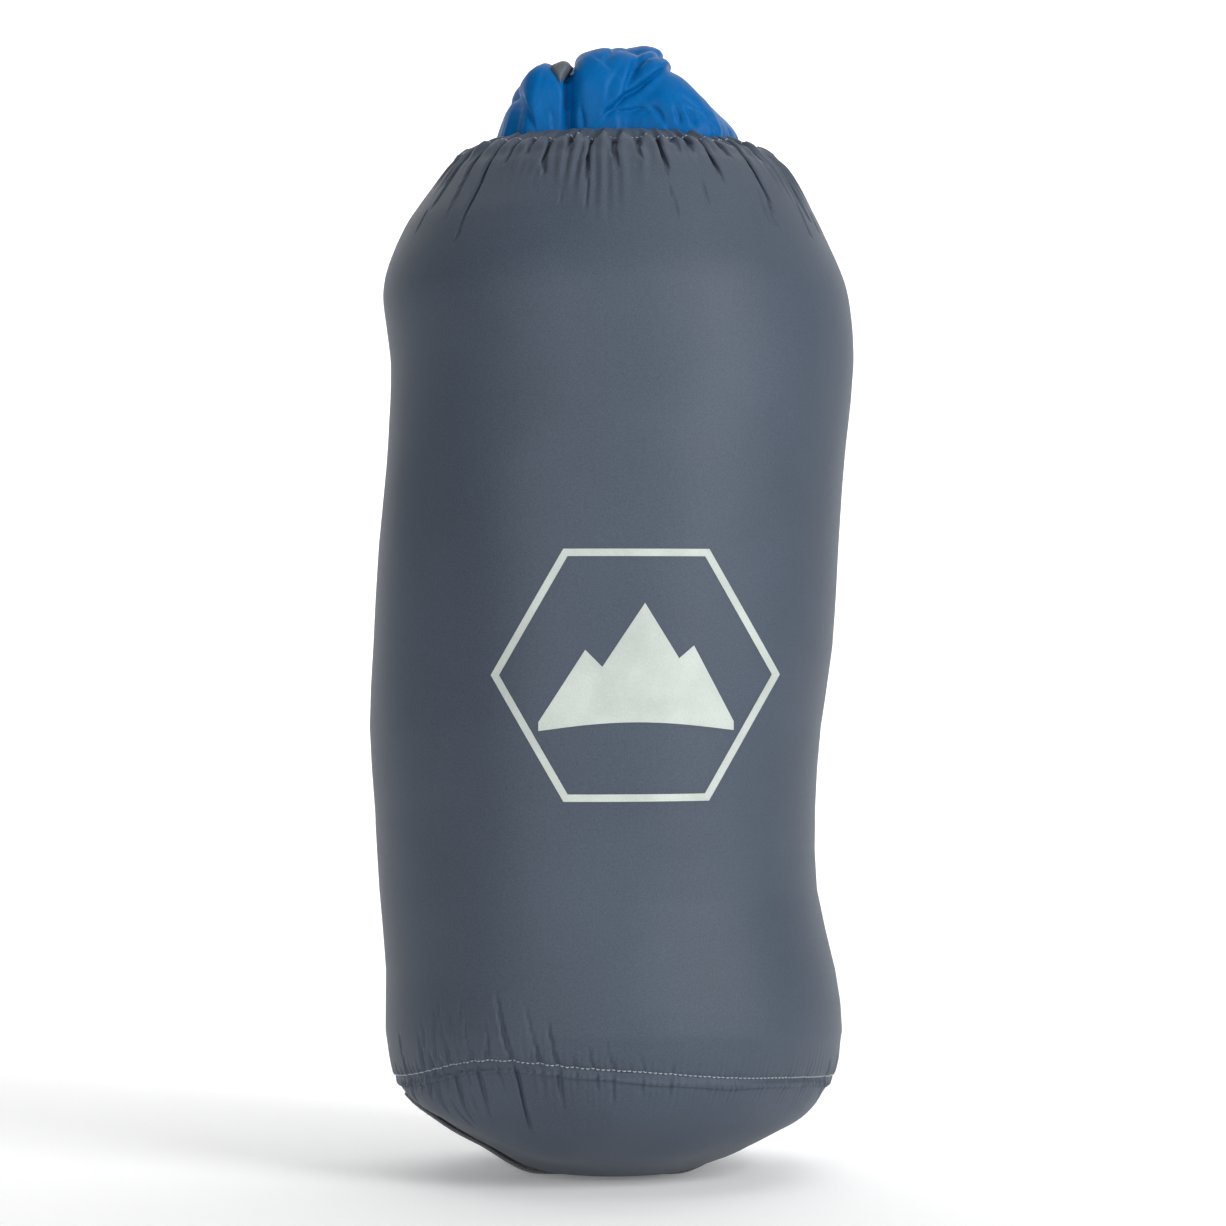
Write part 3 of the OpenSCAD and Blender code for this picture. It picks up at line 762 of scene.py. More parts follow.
def base_surface():
    """The domed base, from the seam down to the middle of its flat spot."""
    tree = bvh_of(BASE_NODE)
    centre = Vector(DOME_CENTRE)
    drops = np.linspace(math.radians(-4), math.radians(90), 60)
    table = np.full((len(drops), TABLE_ANGLES), np.nan)
    for i, drop in enumerate(drops):
        for j in range(TABLE_ANGLES):
            u = j * TAU / TABLE_ANGLES
            way = Vector((math.cos(u) * math.cos(drop), math.sin(u) * math.cos(drop), -math.sin(drop)))
            hit = tree.ray_cast(centre + way * 0.4, -way)[0]
            if hit:
                table[i, j] = (hit - centre).length
    for j in range(TABLE_ANGLES):
        good = ~np.isnan(table[:, j])
        table[:, j] = np.interp(drops, drops[good], table[good, j])
    table = circular_blur(circular_blur(table, 3), 2)
    for _ in range(3):
        table[1:-1] = 0.25 * table[:-2] + 0.5 * table[1:-1] + 0.25 * table[2:]
    rows = 90
    seam = SEAM - 0.0006
    seam_r = skin_radius(ANGLES, seam) - SEAM_INSET - 0.0002
    first_drop = np.arctan2(DOME_CENTRE[2] - seam, seam_r)
    out = np.zeros((rows, COLS, 3))
    columns = np.arange(COLS) * TABLE_ANGLES / COLS
    j0 = columns.astype(int) % TABLE_ANGLES
    j1, f = (j0 + 1) % TABLE_ANGLES, columns - np.floor(columns)
    for i in range(rows):
        drop = first_drop + (math.pi / 2 - first_drop) * (i / (rows - 1)) ** 1.1
        at = np.interp(drop, drops, np.arange(len(drops)))
        k = np.minimum(at.astype(int), len(drops) - 2)
        g = at - k
        d = ((table[k, j0] * (1 - f) + table[k, j1] * f) * (1 - g)
             + (table[k + 1, j0] * (1 - f) + table[k + 1, j1] * f) * g)
        out[i] = DOME_CENTRE + d[:, None] * np.stack(
            [np.cos(ANGLES) * np.cos(drop), np.sin(ANGLES) * np.cos(drop), -np.sin(drop)], axis=1)
    out[0] = np.stack([seam_r * np.cos(ANGLES), seam_r * np.sin(ANGLES), seam], axis=1)
    return out


def base_cloth():
    """The base panel after its gathered edge has settled, pressed in under the webbing."""
    x = base_surface()
    normal = -grid_normals(x)
    run = np.concatenate([[0], np.cumsum(grid_lengths(x)[1].mean(axis=1))])[:, None]
    soft = noise(x, noise_waves(8, 14, 10, 26)) * 0.0009
    clear = smoothstep(0.008, 0.02, x[..., 2])
    left = np.exp(-(wrap(ANGLES - math.pi) / 0.7) ** 2) * smoothstep(0.004, 0.013, x[..., 2])
    x = x - normal * (0.0042 * left * smoothstep(0.044, 0.026, x[..., 2]))[..., None]
    x = x + normal * (soft * clear * smoothstep(0, 0.01, run))[..., None]
    rows = 44
    part, n, s = x[:rows].copy(), normal[:rows], run[:rows]
    across, along = grid_lengths(part)
    surface = part.copy()
    part += n * (SEAM_FOLDS * LOOSE * seam_share(s) * np.exp(-s / 0.020))[..., None]
    pinned = np.zeros(rows, bool)
    pinned[:1] = pinned[-2:] = True
    fade = smoothstep(0.058, 0.02, s)[..., None]
    steps = 60
    x[:rows] = relax(part, pinned, surface, n, -0.0036 * fade - 0.0001, 0.0012 * fade + 0.0001,
                     across * (1 + 0.10 * LOOSE * np.exp(-s / 0.020)), along,
                     steps, 0.09)
    under = (smoothstep(0.0150, 0.0115, np.abs(x[..., 1])) * smoothstep(0.030, 0.05, np.abs(x[..., 0]))
             * smoothstep(0.046, 0.038, x[..., 2]))
    return x - normal * (np.where(x[..., 0] > 0, 0.0030, 0.0012) * under)[..., None], normal


base_x, base_n = base_cloth()
base_run = np.concatenate([[0], np.cumsum(grid_lengths(base_x)[1].mean(axis=1))])[:, None]
base_fine = finer(base_x)
short = np.exp(-base_run / (0.006 + 0.007 * PATCHY)) * smoothstep(0, 0.0015, base_run)
base_fine += np.repeat(base_n, FINE, axis=1) * (0.00034 * STITCH_PUCKERS * short)[..., None]
base = grid_mesh("base_cloth", base_fine, True, SLATE, (FLAT_WIDTH, 0.125))
place(base, "sack", "sack_nylon", "base_panel")


def grid_at(grid, row, col):
    """Points of a grid at fractional rows and columns, whose columns close on themselves."""
    row = np.clip(np.asarray(row, float), 0, len(grid) - 1.0001)
    col = np.asarray(col, float) % COLS
    i, j = row.astype(int), col.astype(int) % COLS
    a, b = (row - i)[..., None], (col - np.floor(col))[..., None]
    k = (j + 1) % COLS
    return ((grid[i, j] * (1 - b) + grid[i, k] * b) * (1 - a)
            + (grid[i + 1, j] * (1 - b) + grid[i + 1, k] * b) * a)


def allowance_grid():
    """The turned edge that shows below the base seam, finely puckered by its stitches."""
    width = 0.0056 + 0.0005 * np.sin(5 * FINE_ANGLES + 1) + 0.0004 * np.sin(17 * FINE_ANGLES)
    step = float(np.linalg.norm(base_x[1] - base_x[0], axis=1).mean())
    col = FINE_ANGLES / TAU * COLS
    out = []
    for f in np.linspace(0, 1, 9):
        row = f * width / step
        p, n = grid_at(base_x, row, col), unit(grid_at(base_n, row, col))
        lift = 0.0005 + 0.00045 * math.sin(f * 2.6) + 0.00036 * STITCH_PUCKERS * (0.4 + 0.6 * f)
        out.append(p + n * np.maximum(lift, 0.00015)[:, None])
    top_row = out[0] + [0, 0, 0.0009]
    under = grid_at(base_x, width / step, col)
    return np.array([top_row] + out + [under])


allowance = grid_mesh("seam_allowance_band", allowance_grid(), True, SLATE, (FLAT_WIDTH, 0.008))
place(allowance, "sack", "sack_nylon", "base_seam_allowance")

# ---- Stitches and the side seam -------------------------------------------------------------------


def stitches(line, normals, pitch, thickness, share=0.7, sink=0.2):
    """Lockstitches along a line on a surface: each is a short fat thread that dips at its ends."""
    run = np.concatenate([[0], np.cumsum(np.linalg.norm(np.diff(line, axis=0), axis=1))])
    parts = []
    for k in range(int(run[-1] / pitch)):
        at = (np.linspace(0, share, 6) + k) * pitch
        p = np.stack([np.interp(at, run, line[:, c]) for c in range(3)], axis=1)
        n = unit(np.stack([np.interp(at, run, normals[:, c]) for c in range(3)], axis=1))
        arch = np.sin(np.linspace(0.12, math.pi - 0.12, 6))
        p = p + n * (thickness * (arch * 0.75 - sink))[:, None]
        parts.append(tube(p, thickness / 2 * (0.55 + 0.45 * arch), 6))
    return parts


def thread_piece(name, parts, node):
    verts, faces = joined(parts)
    place(make_mesh(name, verts, faces, None, THREAD), "sack", "thread", node)


body_n = -grid_normals(body_grid)
ROUND = np.arange(COLS + 1) % COLS
seam_row = len(body_grid) - 5
fine_round = np.arange(FINE_COLS + 1) % FINE_COLS
seam_line = 0.6 * body_fine[seam_row + 1] + 0.4 * body_fine[seam_row]
thread_piece("base_topstitch_thread", stitches(seam_line[fine_round],
                                               np.repeat(body_n[seam_row], FINE, axis=0)[fine_round],
                                               2.5 * MM, 0.6 * MM), "base_topstitch")
open_round = (BACK_COL + 8 + np.arange(COLS - 15)) % COLS
hem_row = CASING_ROWS - 2
thread_piece("casing_topstitch_thread", stitches(top[hem_row][open_round], top_normals[hem_row][open_round],
                                                 2.5 * MM, 0.5 * MM), "casing_topstitch")

FELL_ROWS = np.arange(2, len(body_grid) - 5, 1.0)
FELL_HALF = 5.0 * MM / (FLAT_WIDTH / COLS)


def fell_point(side, lift):
    """A line up the flat-felled seam at the back, side being -1 to 1 across it."""
    col = np.full(len(FELL_ROWS), BACK_COL + side * FELL_HALF)
    return grid_at(body_grid, FELL_ROWS, col) + unit(grid_at(body_n, FELL_ROWS, col)) * lift


fell_wave = 0.00012 * np.sin(FELL_ROWS * 1.9)[:, None]
fell_grid = np.stack([fell_point(side, lift + (fell_wave if lift > 0.0005 else 0)) for side, lift in (
    (-1.0, 0.0), (-0.98, 0.0008), (-0.8, 0.0007), (-0.66, 0.0006), (-0.4, 0.0009), (0, 0.001),
    (0.4, 0.0009), (0.66, 0.0006), (0.8, 0.0007), (0.98, 0.0008), (1.0, 0.0))], axis=1)
fell = grid_mesh("side_seam_strip", fell_grid, False, SLATE, (0.01, body_length))
add_subdivision(fell)
place(fell, "sack", "sack_nylon", "side_seam_fell")
fell_n = unit(grid_at(body_n, FELL_ROWS, np.full(len(FELL_ROWS), float(BACK_COL))))
thread_piece("side_seam_thread", [part for side in (-0.66, 0.66) for part in stitches(
    fell_point(side, 0.0007), fell_n, 2.5 * MM, 0.5 * MM)], "side_seam_topstitch")


def tack(ends, n, count, spread, thickness):
    """A bar tack: threads laid side by side across a short line."""
    a, b = ends
    step = unit(np.cross(n, np.subtract(b, a))) * spread
    parts = []
    for k in range(count):
        f = np.linspace(0, 1, 7)[:, None]
        shift = step * (k - (count - 1) / 2)
        arch = np.sin(np.linspace(0.1, math.pi - 0.1, 7))
        p = np.asarray(a) * (1 - f) + np.asarray(b) * f + shift
        parts.append(tube(p + np.asarray(n) * (thickness * (0.8 * arch - 0.3))[:, None],
                          thickness / 2 * (0.6 + 0.4 * arch), 6))
    return parts


exit_tacks = []
for side in (-1, 1):
    col = (BACK_COL + side * (SLIT_COLS + 3)) % COLS
    for row in (1, 3, 5):
        p, n = top[row, col], top_normals[row, col]
        near, far = top[row, (col - 1) % COLS], top[row, (col + 1) % COLS]
        exit_tacks += tack((near + n * 0.0001, far + n * 0.0001), n, 2, 0.0007, 0.55 * MM)
thread_piece("cord_exit_tack_thread", exit_tacks, "cord_exit_tacks")

# ---- Webbing under the base -----------------------------------------------------------------------

STRAP_W, STRAP_T = 0.025, 0.0018


def base_outline(col, end_z):
    """Outline of the unpressed base at a column in its own plane, from the middle out and up."""
    line = (base_x + base_n * 0.0)[::-1, col]
    keep = line[:, 2] < end_z
    return np.stack([np.abs(line[keep, 0]), line[keep, 2]], axis=1)


def strap_side(side):
    """Middle line of the webbing from under the centre up one side, as x and z."""
    line = base_outline(COLS // 2 if side < 0 else 0, 0.0405)
    run = resample(line, 60)
    along = unit(np.gradient(run, axis=0))
    n = np.stack([along[:, 1], -along[:, 0]], axis=1)
    f = np.linspace(0, 1, 60)
    gap = STRAP_T / 2 + 0.0004 - 0.0013 * smoothstep(0.93, 1, f)
    if side < 0:
        gap = gap + 0.0014 * np.sin(math.pi * f) ** 1.5
    line = run + n * np.reshape(gap, (-1, 1))
    line[:, 0] *= side
    lowest = STRAP_T / 2
    line[:, 1] = np.where(np.abs(line[:, 0]) < 0.034, lowest, np.maximum(line[:, 1], lowest))
    return line


strap_line = resample(np.concatenate([strap_side(-1)[::-1], strap_side(1)]), 150)
for _ in range(14):
    strap_line[1:-1] = 0.25 * strap_line[:-2] + 0.5 * strap_line[1:-1] + 0.25 * strap_line[2:]
strap_line[:, 1] = np.maximum(strap_line[:, 1], STRAP_T / 2)
strap_along = unit(np.gradient(strap_line, axis=0))
strap_out = np.stack([strap_along[:, 1], -strap_along[:, 0]], axis=1)


def rounded_section(width, thickness, count=6):
    """Outline of a flat strap with rounded edges, as (across, outwards)."""
    r = thickness / 2
    right = [((width / 2 - r) + r * math.cos(a), r * math.sin(a))
             for a in np.linspace(-math.pi / 2, math.pi / 2, count)]
    middle = [(x, r) for x in np.linspace(width / 2 - r, r - width / 2, 12)[1:-1]]
    left = [(-x, -y) for x, y in right]
    return right + middle + left + [(-x, -y) for x, y in middle]


def swept(points, side, outward, section):
    """A section carried along a path, with its ends closed."""
    section = np.array(section)
    x = (points[:, None] + side[:, None] * section[None, :, :1] + outward[:, None] * section[None, :, 1:])
    first, last = x[0].mean(axis=0), x[-1].mean(axis=0)
    return np.concatenate([np.broadcast_to(first, x[:1].shape), x, np.broadcast_to(last, x[:1].shape)])


strap_3d = np.stack([strap_line[:, 0], np.zeros(150), strap_line[:, 1]], axis=1)
strap_n = np.stack([strap_out[:, 0], np.zeros(150), strap_out[:, 1]], axis=1)
across_strap = np.broadcast_to([0.0, 1.0, 0.0], strap_3d.shape)
strap_length = float(np.linalg.norm(np.diff(strap_line, axis=0), axis=1).sum())
handle = grid_mesh("grab_webbing", swept(strap_3d, across_strap, strap_n, rounded_section(STRAP_W, STRAP_T)),
                   True, WEBBING, (2 * STRAP_W, strap_length))
place(handle, "sack", "webbing", "grab_handle")
print("webbing length", round(strap_length, 4))

handle_threads = []
for end, k_list in ((0, (4, 7, 10)), (-1, (-5, -8, -11))):
    for k in k_list:
        n = strap_n[k]
        surface = strap_3d[k] + n * (STRAP_T / 2)
        for y in np.arange(-0.0105, 0.009, 0.0023):
            handle_threads += tack((surface + [0, y, 0], surface + [0, y + 0.002, 0]), n, 1, 0.0005, 0.6 * MM)
thread_piece("handle_tack_thread", handle_threads, "handle_tacks")

# ---- Drawcord, stop knot and cord lock ----------------------------------------------------------

LOCK_AT = np.array([0, 0.0842, 0.5038])
DOWN = np.array([0, math.sqrt(0.5), -math.sqrt(0.5)])
OUT = np.array([0, math.sqrt(0.5), math.sqrt(0.5)])
CORD_R = 0.0015


def on_run(points):
    """Places across, along and off the run of the lock, in millimetres, as points."""
    return [LOCK_AT + np.array([x, 0, 0]) * MM + DOWN * a * MM + OUT * b * MM for x, a, b in points]


def cord_ring():
    start = math.asin(8.5 / 60)
    u = BACK + np.linspace(start, TAU - start, 60)
    r = RIM_R + 0.003 * math.cos(CASING_SLOPE)
    return list(np.stack([r * np.cos(u), r * np.sin(u),
                          np.full(60, RIM_Z - 0.003 * math.sin(CASING_SLOPE))], axis=1))


cord_points = (
    on_run([(0, 44, -9), (0, 40, -7.7), (0, 36, -5), (0, 32, -2.6), (0, 28, -1.75), (0, 12, -1.75),
            (0, -10, -1.75), (-1, -14, -2.6), (-3, -17.5, -4)]) + [np.array([-0.006, 0.066, 0.5032])]
    + cord_ring() + [np.array([0.006, 0.066, 0.5032])]
    + on_run([(3, -17.5, -2.6), (1, -14, 0.4), (0, -10, 1.75), (0, 12, 1.75), (0, 29, 1.75),
              (0, 34, 0.7), (0, 38, -1.5), (0, 42, -4.1), (0, 46, -5.6)]))
cord_line = smooth_curve(cord_points)
cord_length = float(np.linalg.norm(np.diff(cord_line, axis=0), axis=1).sum())
cord_line = resample(cord_line, int(cord_length / 0.0009))


def round_tube(line, radius, sides=14):
    """Grid of points of a round tube with closed ends."""
    line = np.asarray(line, float)
    along = unit(np.gradient(line, axis=0))
    side = unit(np.cross(along[0], [0.3, 0.5, 0.81]))
    sides_at, others = [], []
    for d in along:
        side = unit(side - (side @ d) * d)
        sides_at.append(side)
        others.append(np.cross(d, side))
    a = np.arange(sides) * TAU / sides
    section = np.stack([np.cos(a), np.sin(a)], axis=1) * radius
    return swept(line, np.array(sides_at), np.array(others), section)


drawcord = grid_mesh("drawcord_braid", round_tube(cord_line, CORD_R), True, CORD, (TAU * CORD_R, cord_length))
place(drawcord, "sack", "braided_cord", "drawcord")
print("drawcord length", round(cord_length, 4))

t = np.linspace(0, TAU, 90)
knot_centre = on_run([(0, 48.5, -9)])[0]
loops = np.stack([np.sin(t) + 2 * np.sin(2 * t), np.cos(t) - 2 * np.cos(2 * t), -1.15 * np.sin(3 * t)], axis=1)
knot_line = knot_centre + (loops[:, :1] * np.array([[1.0, 0, 0]]) + loops[:, 1:2] * DOWN + loops[:, 2:] * OUT) * 1.12 * MM
stubs = []
for side in (-1, 1):
    stub = knot_centre + np.array([[0.0, 0, 0], [side * 0.0015, 0, 0], [side * 0.003, 0, 0]])         + np.outer([0.002, 0.006, 0.0095], DOWN) - np.outer([0, 0.0008, 0.0022], OUT)
    stubs.append(round_tube(resample(smooth_curve(stub), 10), CORD_R * 0.96))
knot_grids = [round_tube(knot_line, CORD_R * 1.02)] + stubs
knot_faces = joined([(g, grid_faces(*g.shape[:2], True)) for g in knot_grids])
knot = make_mesh("stop_knot_braid", *knot_faces, None, CORD)
place(knot, "sack", "braided_cord", "stop_knot")

spring_line = []
for i in range(141):
    a = TAU * 2.5 * i / 140
    spring_line.append(LOCK_AT + np.array([-9.45 + 5.6 * i / 140, 4.0 * math.cos(a), 4.0 * math.sin(a)]) * MM)
spring = grid_mesh("lock_spring_wire", round_tube(spring_line, 0.35 * MM, 10), True, STEEL, (0.0022, 0.06))
place(spring, "cord_lock", "spring_steel", "cord_lock_spring")
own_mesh(spring)

# ---- Print on the front ------------------------------------------------------------------------

PRINT_X, PRINT_Z = 0.011, 0.247
PRINT_LIFT = 0.00022
front_tree = BVHTree.FromPolygons([tuple(p) for p in body_grid.reshape(-1, 3)],
                                  [tuple(int(i) for i in f) for f in grid_faces(len(body_grid), COLS, True)])


def on_front(x, z):
    """Point of ink on the front cloth, at sideways place x and height z."""
    start = Vector((PRINT_X + x * MM, -0.3, PRINT_Z + z * MM))
    hit, normal = front_tree.ray_cast(start, Vector((0, 1, 0)))[:2]
    if normal.y > 0:
        normal = -normal
    return np.array(hit + normal * PRINT_LIFT)


def hexagon(radius, per_side=40):
    corners = [np.array([radius * math.cos(i * math.pi / 3), radius * math.sin(i * math.pi / 3)])
               for i in range(6)]
    return [corners[i] * (1 - k / per_side) + corners[(i + 1) % 6] * k / per_side
            for i in range(6) for k in range(per_side)]


def ink_band(low, high, rows, closed):
    low, high = np.array(low), np.array(high)
    grid = np.array([[on_front(*(a * (1 - f) + b * f)) for a, b in zip(low, high)]
                     for f in np.linspace(0, 1, rows)])
    return grid, grid_faces(rows, len(low), closed)


RIDGE = np.array([[-46, -22], [-24, 12], [-16, 4], [4, 34], [20, 8], [27, 14], [46, -22]], float)
crest_x = np.unique(np.concatenate([np.linspace(-46, 46, 116), RIDGE[:, 0]]))
foot_z = -26 + 4 * np.cos(np.radians(2 * crest_x))
crest_z = np.maximum(np.interp(crest_x, RIDGE[:, 0], RIDGE[:, 1]), foot_z + 1)
ink_parts = [ink_band(hexagon(68.5 - 4), hexagon(68.5), 5, True),
             ink_band(np.stack([crest_x, foot_z], 1), np.stack([crest_x, crest_z], 1), 40, False)]
print_ink = make_mesh("front_print_ink", *joined(ink_parts), None, INK)
place(print_ink, "sack", "print_ink", "front_print")

# ---- Sleeping bag -----------------------------------------------------------------------------------


def lobe(centre, semi, tilt=0, turn=0, rows=30, cols=44):
    """A puffy lobe in millimetres. tilt leans its top to +X and turn spins it about the upright axis."""
    v, u = np.meshgrid(np.linspace(0, math.pi, rows), np.arange(cols) * TAU / cols, indexing="ij")
    ball = np.stack([np.sin(v) * np.cos(u), np.sin(v) * np.sin(u), np.cos(v)], -1)
    full = (np.abs(ball) ** 3.4).sum(axis=-1, keepdims=True) ** (-1 / 3.4)
    p = ball * full * np.array(semi)
    a, b = math.radians(tilt), math.radians(turn)
    lean = np.array([[math.cos(a), 0, math.sin(a)], [0, 1, 0], [-math.sin(a), 0, math.cos(a)]])
    spin = np.array([[math.cos(b), -math.sin(b), 0], [math.sin(b), math.cos(b), 0], [0, 0, 1]])
    return ((p @ lean.T @ spin.T + centre) * MM).reshape(-1, 3), grid_faces(rows, cols, True)


def fused(name, parts, voxel):
    """One closed skin round several overlapping solids."""
    piece = make_mesh(name + "_parts", *joined(parts))
    modifier = piece.modifiers.new("skin", "REMESH")
    modifier.mode = "VOXEL"
    modifier.voxel_size = voxel
    shown = piece.evaluated_get(bpy.context.evaluated_depsgraph_get())
    mesh = shown.to_mesh()
    verts = np.array([v.co for v in mesh.vertices])
    faces = [tuple(p.vertices) for p in mesh.polygons]
    shown.to_mesh_clear()
    bpy.data.objects.remove(piece)
    return verts, faces


class Skin:
    """A free-form mesh whose points can be smoothed and moved along their normals."""

    def __init__(self, verts, faces):
        self.x, self.faces = verts, faces
        quads = np.array([f if len(f) == 4 else (*f, f[-1]) for f in faces])
        pairs = np.concatenate([quads[:, [k, (k + 1) % 4]] for k in range(4)])
        pairs = np.unique(np.sort(pairs[pairs[:, 0] != pairs[:, 1]], axis=1), axis=0)
        self.a, self.b, self.quads = pairs[:, 0], pairs[:, 1], quads
        self.degree = np.bincount(self.a, minlength=len(verts)) + np.bincount(self.b, minlength=len(verts))

    def spread(self, values):
        """Mean of the values at each point's neighbours."""
        out = np.zeros_like(values)
        for k in range(values.shape[1]):
            out[:, k] = (np.bincount(self.a, values[self.b, k], len(values))
                         + np.bincount(self.b, values[self.a, k], len(values)))
        return out / self.degree[:, None]

    def smooth(self, times, amount=0.6):
        for _ in range(times):
            self.x += amount * (self.spread(self.x) - self.x)

    def normals(self):
        p = self.x[self.quads]
        n = np.cross(p[:, 2] - p[:, 0], p[:, 3] - p[:, 1])
        out = np.zeros_like(self.x)
        for corner in range(4):
            for k in range(3):
                out[:, k] += np.bincount(self.quads[:, corner], n[:, k], len(self.x))
        return unit(out)


def line_distance(p, line):
    """Distance of points to a line of straight parts, how far along it each is, from 0 to 1, and
    which side of it each is on."""
    best = np.full(len(p), 1e9)
    where, side = np.zeros(len(p)), np.zeros(len(p))
    for i, (a, b) in enumerate(zip(line[:-1], line[1:])):
        d = b - a
        f = np.clip(((p - a) @ d) / (d @ d), 0, 1)
        gap = np.linalg.norm(p - a - f[:, None] * d, axis=1)
        closer = gap < best
        best[closer], where[closer] = gap[closer], (i + f[closer]) / (len(line) - 1)
        side[closer] = np.sign(d[1] * (p[closer, 0] - a[0]) - d[0] * (p[closer, 1] - a[1]))
    return best, where, side


LOBES = [
    lobe((0, 0, 496), (54, 53, 13)),
    lobe((-43.5, -6, 507), (13.5, 30, 21), 14),
    lobe((-33, -10, 516.5), (14.5, 37, 28.5), 8),
    lobe((-4, -8, 520.5), (22, 42, 31), 4),
    lobe((11, -12, 529), (10.5, 36, 23.5), 36),
    lobe((24, -6, 511), (30.5, 43, 27), 47),
    lobe((7, -4, 546.5), (18, 20, 7.5), -4),
    lobe((-20, 14, 519.5), (25, 33, 28), -12, 20),
    lobe((9, 20, 519), (19, 31, 30), 10, -15),
    lobe((31, 15, 508), (25, 33, 26), 40, -20),
]
# Points of each crease in the front view, its depth, its width and how far its right side is raised
CREASES = [
    ((-21, 553), (-22, 545), (-22.5, 533), (-22, 512), 4.6, 1.3, 1.2),
    ((29.5, 543.5), (18, 534.5), (7, 527), (-4, 517), 4.4, 1.1, 2.0),
    ((24, 549.5), (17, 547.5), (10, 542), (6, 529), 2.6, 1.2, 1.5),
    ((-45, 529), (-43, 522), (-38.5, 513), 2.4, 1.2, -1.1),
    ((-44.5, 536), (-38, 542), (-32, 546.5), 1.6, 0.9, 1.0),
    ((6, 553.5), (0, 549.5), (-4, 544.5), 1.8, 0.9, 0.8),
    ((-29.5, 543), (-26.5, 536), (-25, 531), 1.0, 1.0, 0.2),
    ((18, 521), (22, 517.5), (24, 513.5), 2.8, 1.1, 1.0),
    ((30, 520), (31.5, 517), (32, 513), 2.2, 1.0, 0.5),
    ((36, 520), (38.5, 516), (39.5, 512), 2.6, 1.0, 0.8),
    ((45.5, 517.5), (48, 513), (50.5, 510), 2.0, 0.9, 0.5),
    ((-2, 519.5), (6, 518.5), (13, 520.5), (18, 519), 2.0, 1.0, -0.8),
    ((33, 526), (42, 520), (48, 517), 0.8, 1.2, 0.3),
    ((3, 541), (-2, 532), (-4, 521), 0.7, 1.6, 0.4),
    ((-33, 540), (-36, 530), (-34, 518), 0.6, 1.6, 0.3),
    ((-9, 545.5), (-5, 543), (-1, 539), 0.7, 0.9, 0.5),
    ((-16, 520), (-15, 515), (-14.5, 511), 1.2, 0.9, 0.3),
    ((-30, 519), (-29, 515), (-29, 511), 1.2, 0.9, 0.3),
]


def sleeping_bag_shell():
    """The end of the sleeping bag that stands out of the mouth: puffy lobes with creases."""
    skin = Skin(*fused("tuft", LOBES, 0.0009))
    skin.smooth(7)
    flat = skin.x[:, [0, 2]] / MM
    n = skin.normals()
    front = smoothstep(0.006, -0.006, skin.x[:, 1])
    move = noise(skin.x, noise_waves(31, 16, 20, 45)) * 0.0005
    move += noise(skin.x * [1, 1, 0.35], noise_waves(32, 18, 80, 140)) * 0.00010
    for *points, depth, width, step in CREASES:
        gap, where, side = line_distance(flat, np.array(points, float))
        taper = smoothstep(-0.05, 0.25, where) * smoothstep(1.05, 0.75, where) * 0.55 + 0.45
        valley = np.exp(-(gap / width) ** 1.2)
        raised = step * side * np.exp(-gap / 5.0) * (1 - np.exp(-gap / 0.6))
        rays = np.sin(where * len(points) * 8 + 0.8 * gap / width) * np.exp(-gap / 5) * (1 - valley)
        move += (-depth * valley + raised + 0.05 * depth * rays) * taper * front * MM
    low = smoothstep(0.530, 0.509, skin.x[:, 2])
    turn = np.arctan2(skin.x[:, 1], skin.x[:, 0])
    gathers = np.sin(turn * 41 + 2.5 * np.sin(turn * 7)) * 0.5 + np.sin(turn * 67 + 2 * np.sin(turn * 5)) * 0.35
    move += 0.00035 * gathers * low
    skin.x += n * move[:, None]
    skin.smooth(1, 0.4)
    return skin.x, skin.faces


shell = make_mesh("sleeping_bag_shell", *sleeping_bag_shell(), None, BLUE)
place(shell, "sack", "bag_shell", "sleeping_bag_tuft")

lining_skin = Skin(*fused("lining", [lobe((-25.5, -34.5, 536.5), (6.0, 11, 7.0), 4)], 0.0006))
lining_skin.smooth(3)
lining_skin.x += lining_skin.normals() * (noise(lining_skin.x, noise_waves(41, 14, 60, 140)) * 0.0004)[:, None]
LINING_MIDDLE = -0.0255
narrow = np.clip((lining_skin.x[:, 2] - 0.5315) / 0.0105, 0.12, 1)
lining_skin.x[:, 0] = LINING_MIDDLE + (lining_skin.x[:, 0] - LINING_MIDDLE) * narrow
lining = make_mesh("sleeping_bag_lining_fold", lining_skin.x, lining_skin.faces, None, LINING)
place(lining, "sack", "bag_lining", "sleeping_bag_lining")


def core_grid():
    """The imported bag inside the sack: a lumpy quilted roll a few millimetres inside the cloth."""
    u = np.arange(120) * TAU / 120
    col = u / TAU * COLS
    rows = []
    base_r = np.hypot(base_x[..., 0], base_x[..., 1])
    for z in np.linspace(0.008, 0.482, 90):
        if z < 0.052:
            line = np.array([np.interp(z, base_x[::-1, int(c), 2], base_r[::-1, int(c)]) for c in col])
        else:
            line = skin_radius(u, np.full(120, z))
        inset = 0.0045 + 0.0065 * smoothstep(0.42, 0.47, z) + 0.0006 * np.sin(6 * u + 40 * z)
        quilt = 0.0012 * np.abs(np.sin(z * 42)) * np.abs(np.sin(4 * u))
        r = np.maximum(line - inset - 0.0012 + quilt, 0.004)
        rows.append(np.stack([r * np.cos(u), r * np.sin(u), np.full(120, z + 0.003 * (z < 0.052))], axis=1))
    rows = np.array(rows)
    ends = [rows[:1] * [0.6, 0.6, 1], rows[-1:] * [0.6, 0.6, 1.004], rows[-1:] * [0, 0, 1.006]]
    return np.concatenate([rows[:1] * [0, 0, 1], ends[0], rows, ends[1], ends[2]])


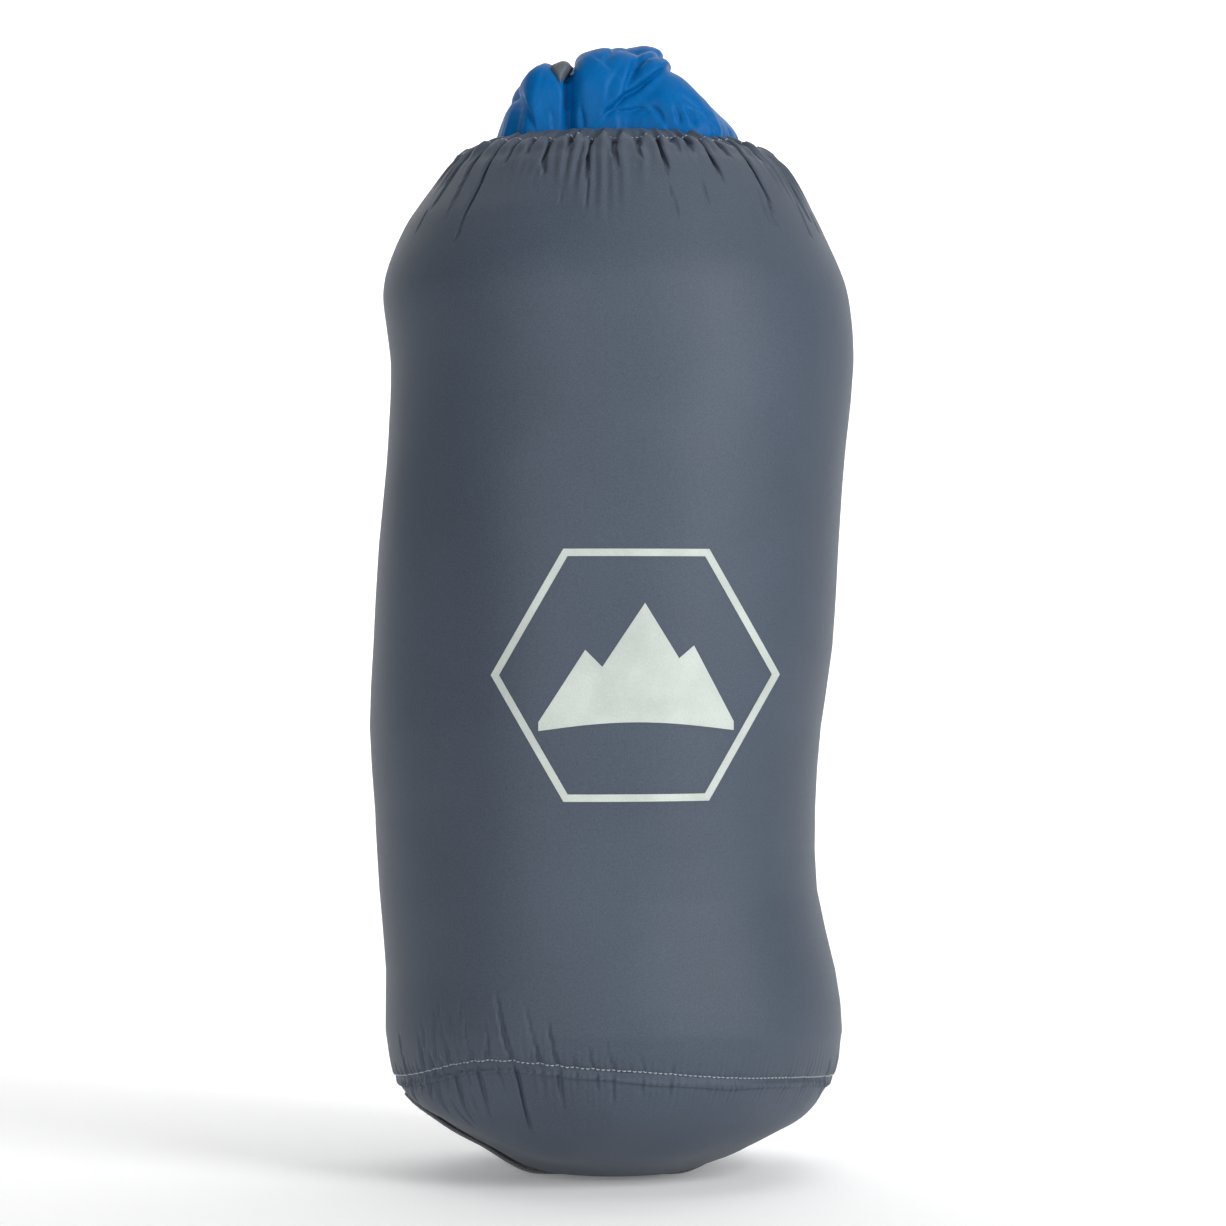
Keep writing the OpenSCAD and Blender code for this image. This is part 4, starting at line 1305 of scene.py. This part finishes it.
core = grid_mesh("sleeping_bag_roll", core_grid(), True, BLUE, (0.66, 0.5))
place(core, "sack", "bag_shell", "sleeping_bag_core")

# ---- Stage and lights ----------------------------------------------------------------------------


def stage_material():
    n = Nodes("studio_white")
    n.set(Base_Color=(0.9, 0.9, 0.9, 1), Roughness=0.9, Emission_Color=(1, 1, 1, 1),
          Emission_Strength=0.14)
    return n.material


def cyclorama():
    """A floor that turns up into a backdrop behind the sack."""
    profile = [(-3.5, 0), (1.6, 0)]
    for a in range(0, 91, 10):
        profile.append((1.6 + 0.6 * math.sin(math.radians(a)), 0.6 - 0.6 * math.cos(math.radians(a))))
    profile.append((2.2, 3.5))
    line = np.array([[0, y, z] for y, z in profile])
    x = np.stack([line + [-4, 0, 0], line + [4, 0, 0]], axis=1)
    return grid_mesh("cyclorama", x, False, stage_material())


cyclorama()


def area_light(name, at, target, size, power, color=(1, 1, 1)):
    data = bpy.data.lights.new(name, "AREA")
    data.shape = "RECTANGLE"
    data.size, data.size_y = size
    data.energy = power
    data.color = color
    lamp = bpy.data.objects.new(name, data)
    lamp.location = at
    lamp.rotation_euler = (Vector(target) - Vector(at)).to_track_quat("-Z", "Y").to_euler()
    bpy.context.scene.collection.objects.link(lamp)


area_light("key", (1.6, -1.5, 1.0), (0, 0, 0.28), (0.9, 1.4), 43)
area_light("front_fill", (-1.0, -2.3, 0.7), (0, 0, 0.3), (1.6, 1.3), 24)
area_light("top", (0.4, -0.2, 2.0), (0, 0, 0.3), (1.2, 1.0), 6)
area_light("backdrop_light", (0, 0.9, 1.9), (0, 2.0, 0.6), (3.0, 0.6), 36)

world = bpy.data.worlds.new("studio")
world.use_nodes = True
world.node_tree.nodes["Background"].inputs["Color"].default_value = (1, 1, 1, 1)
world.node_tree.nodes["Background"].inputs["Strength"].default_value = 0.13
bpy.context.scene.world = world
bpy.context.scene.view_settings.view_transform = "Standard"

for name, material in (("cord_lock_barrel", LOCK_PLASTIC), ("cord_lock_plunger", BUTTON_PLASTIC)):
    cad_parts[name].data.materials.clear()
    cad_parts[name].data.materials.append(material)
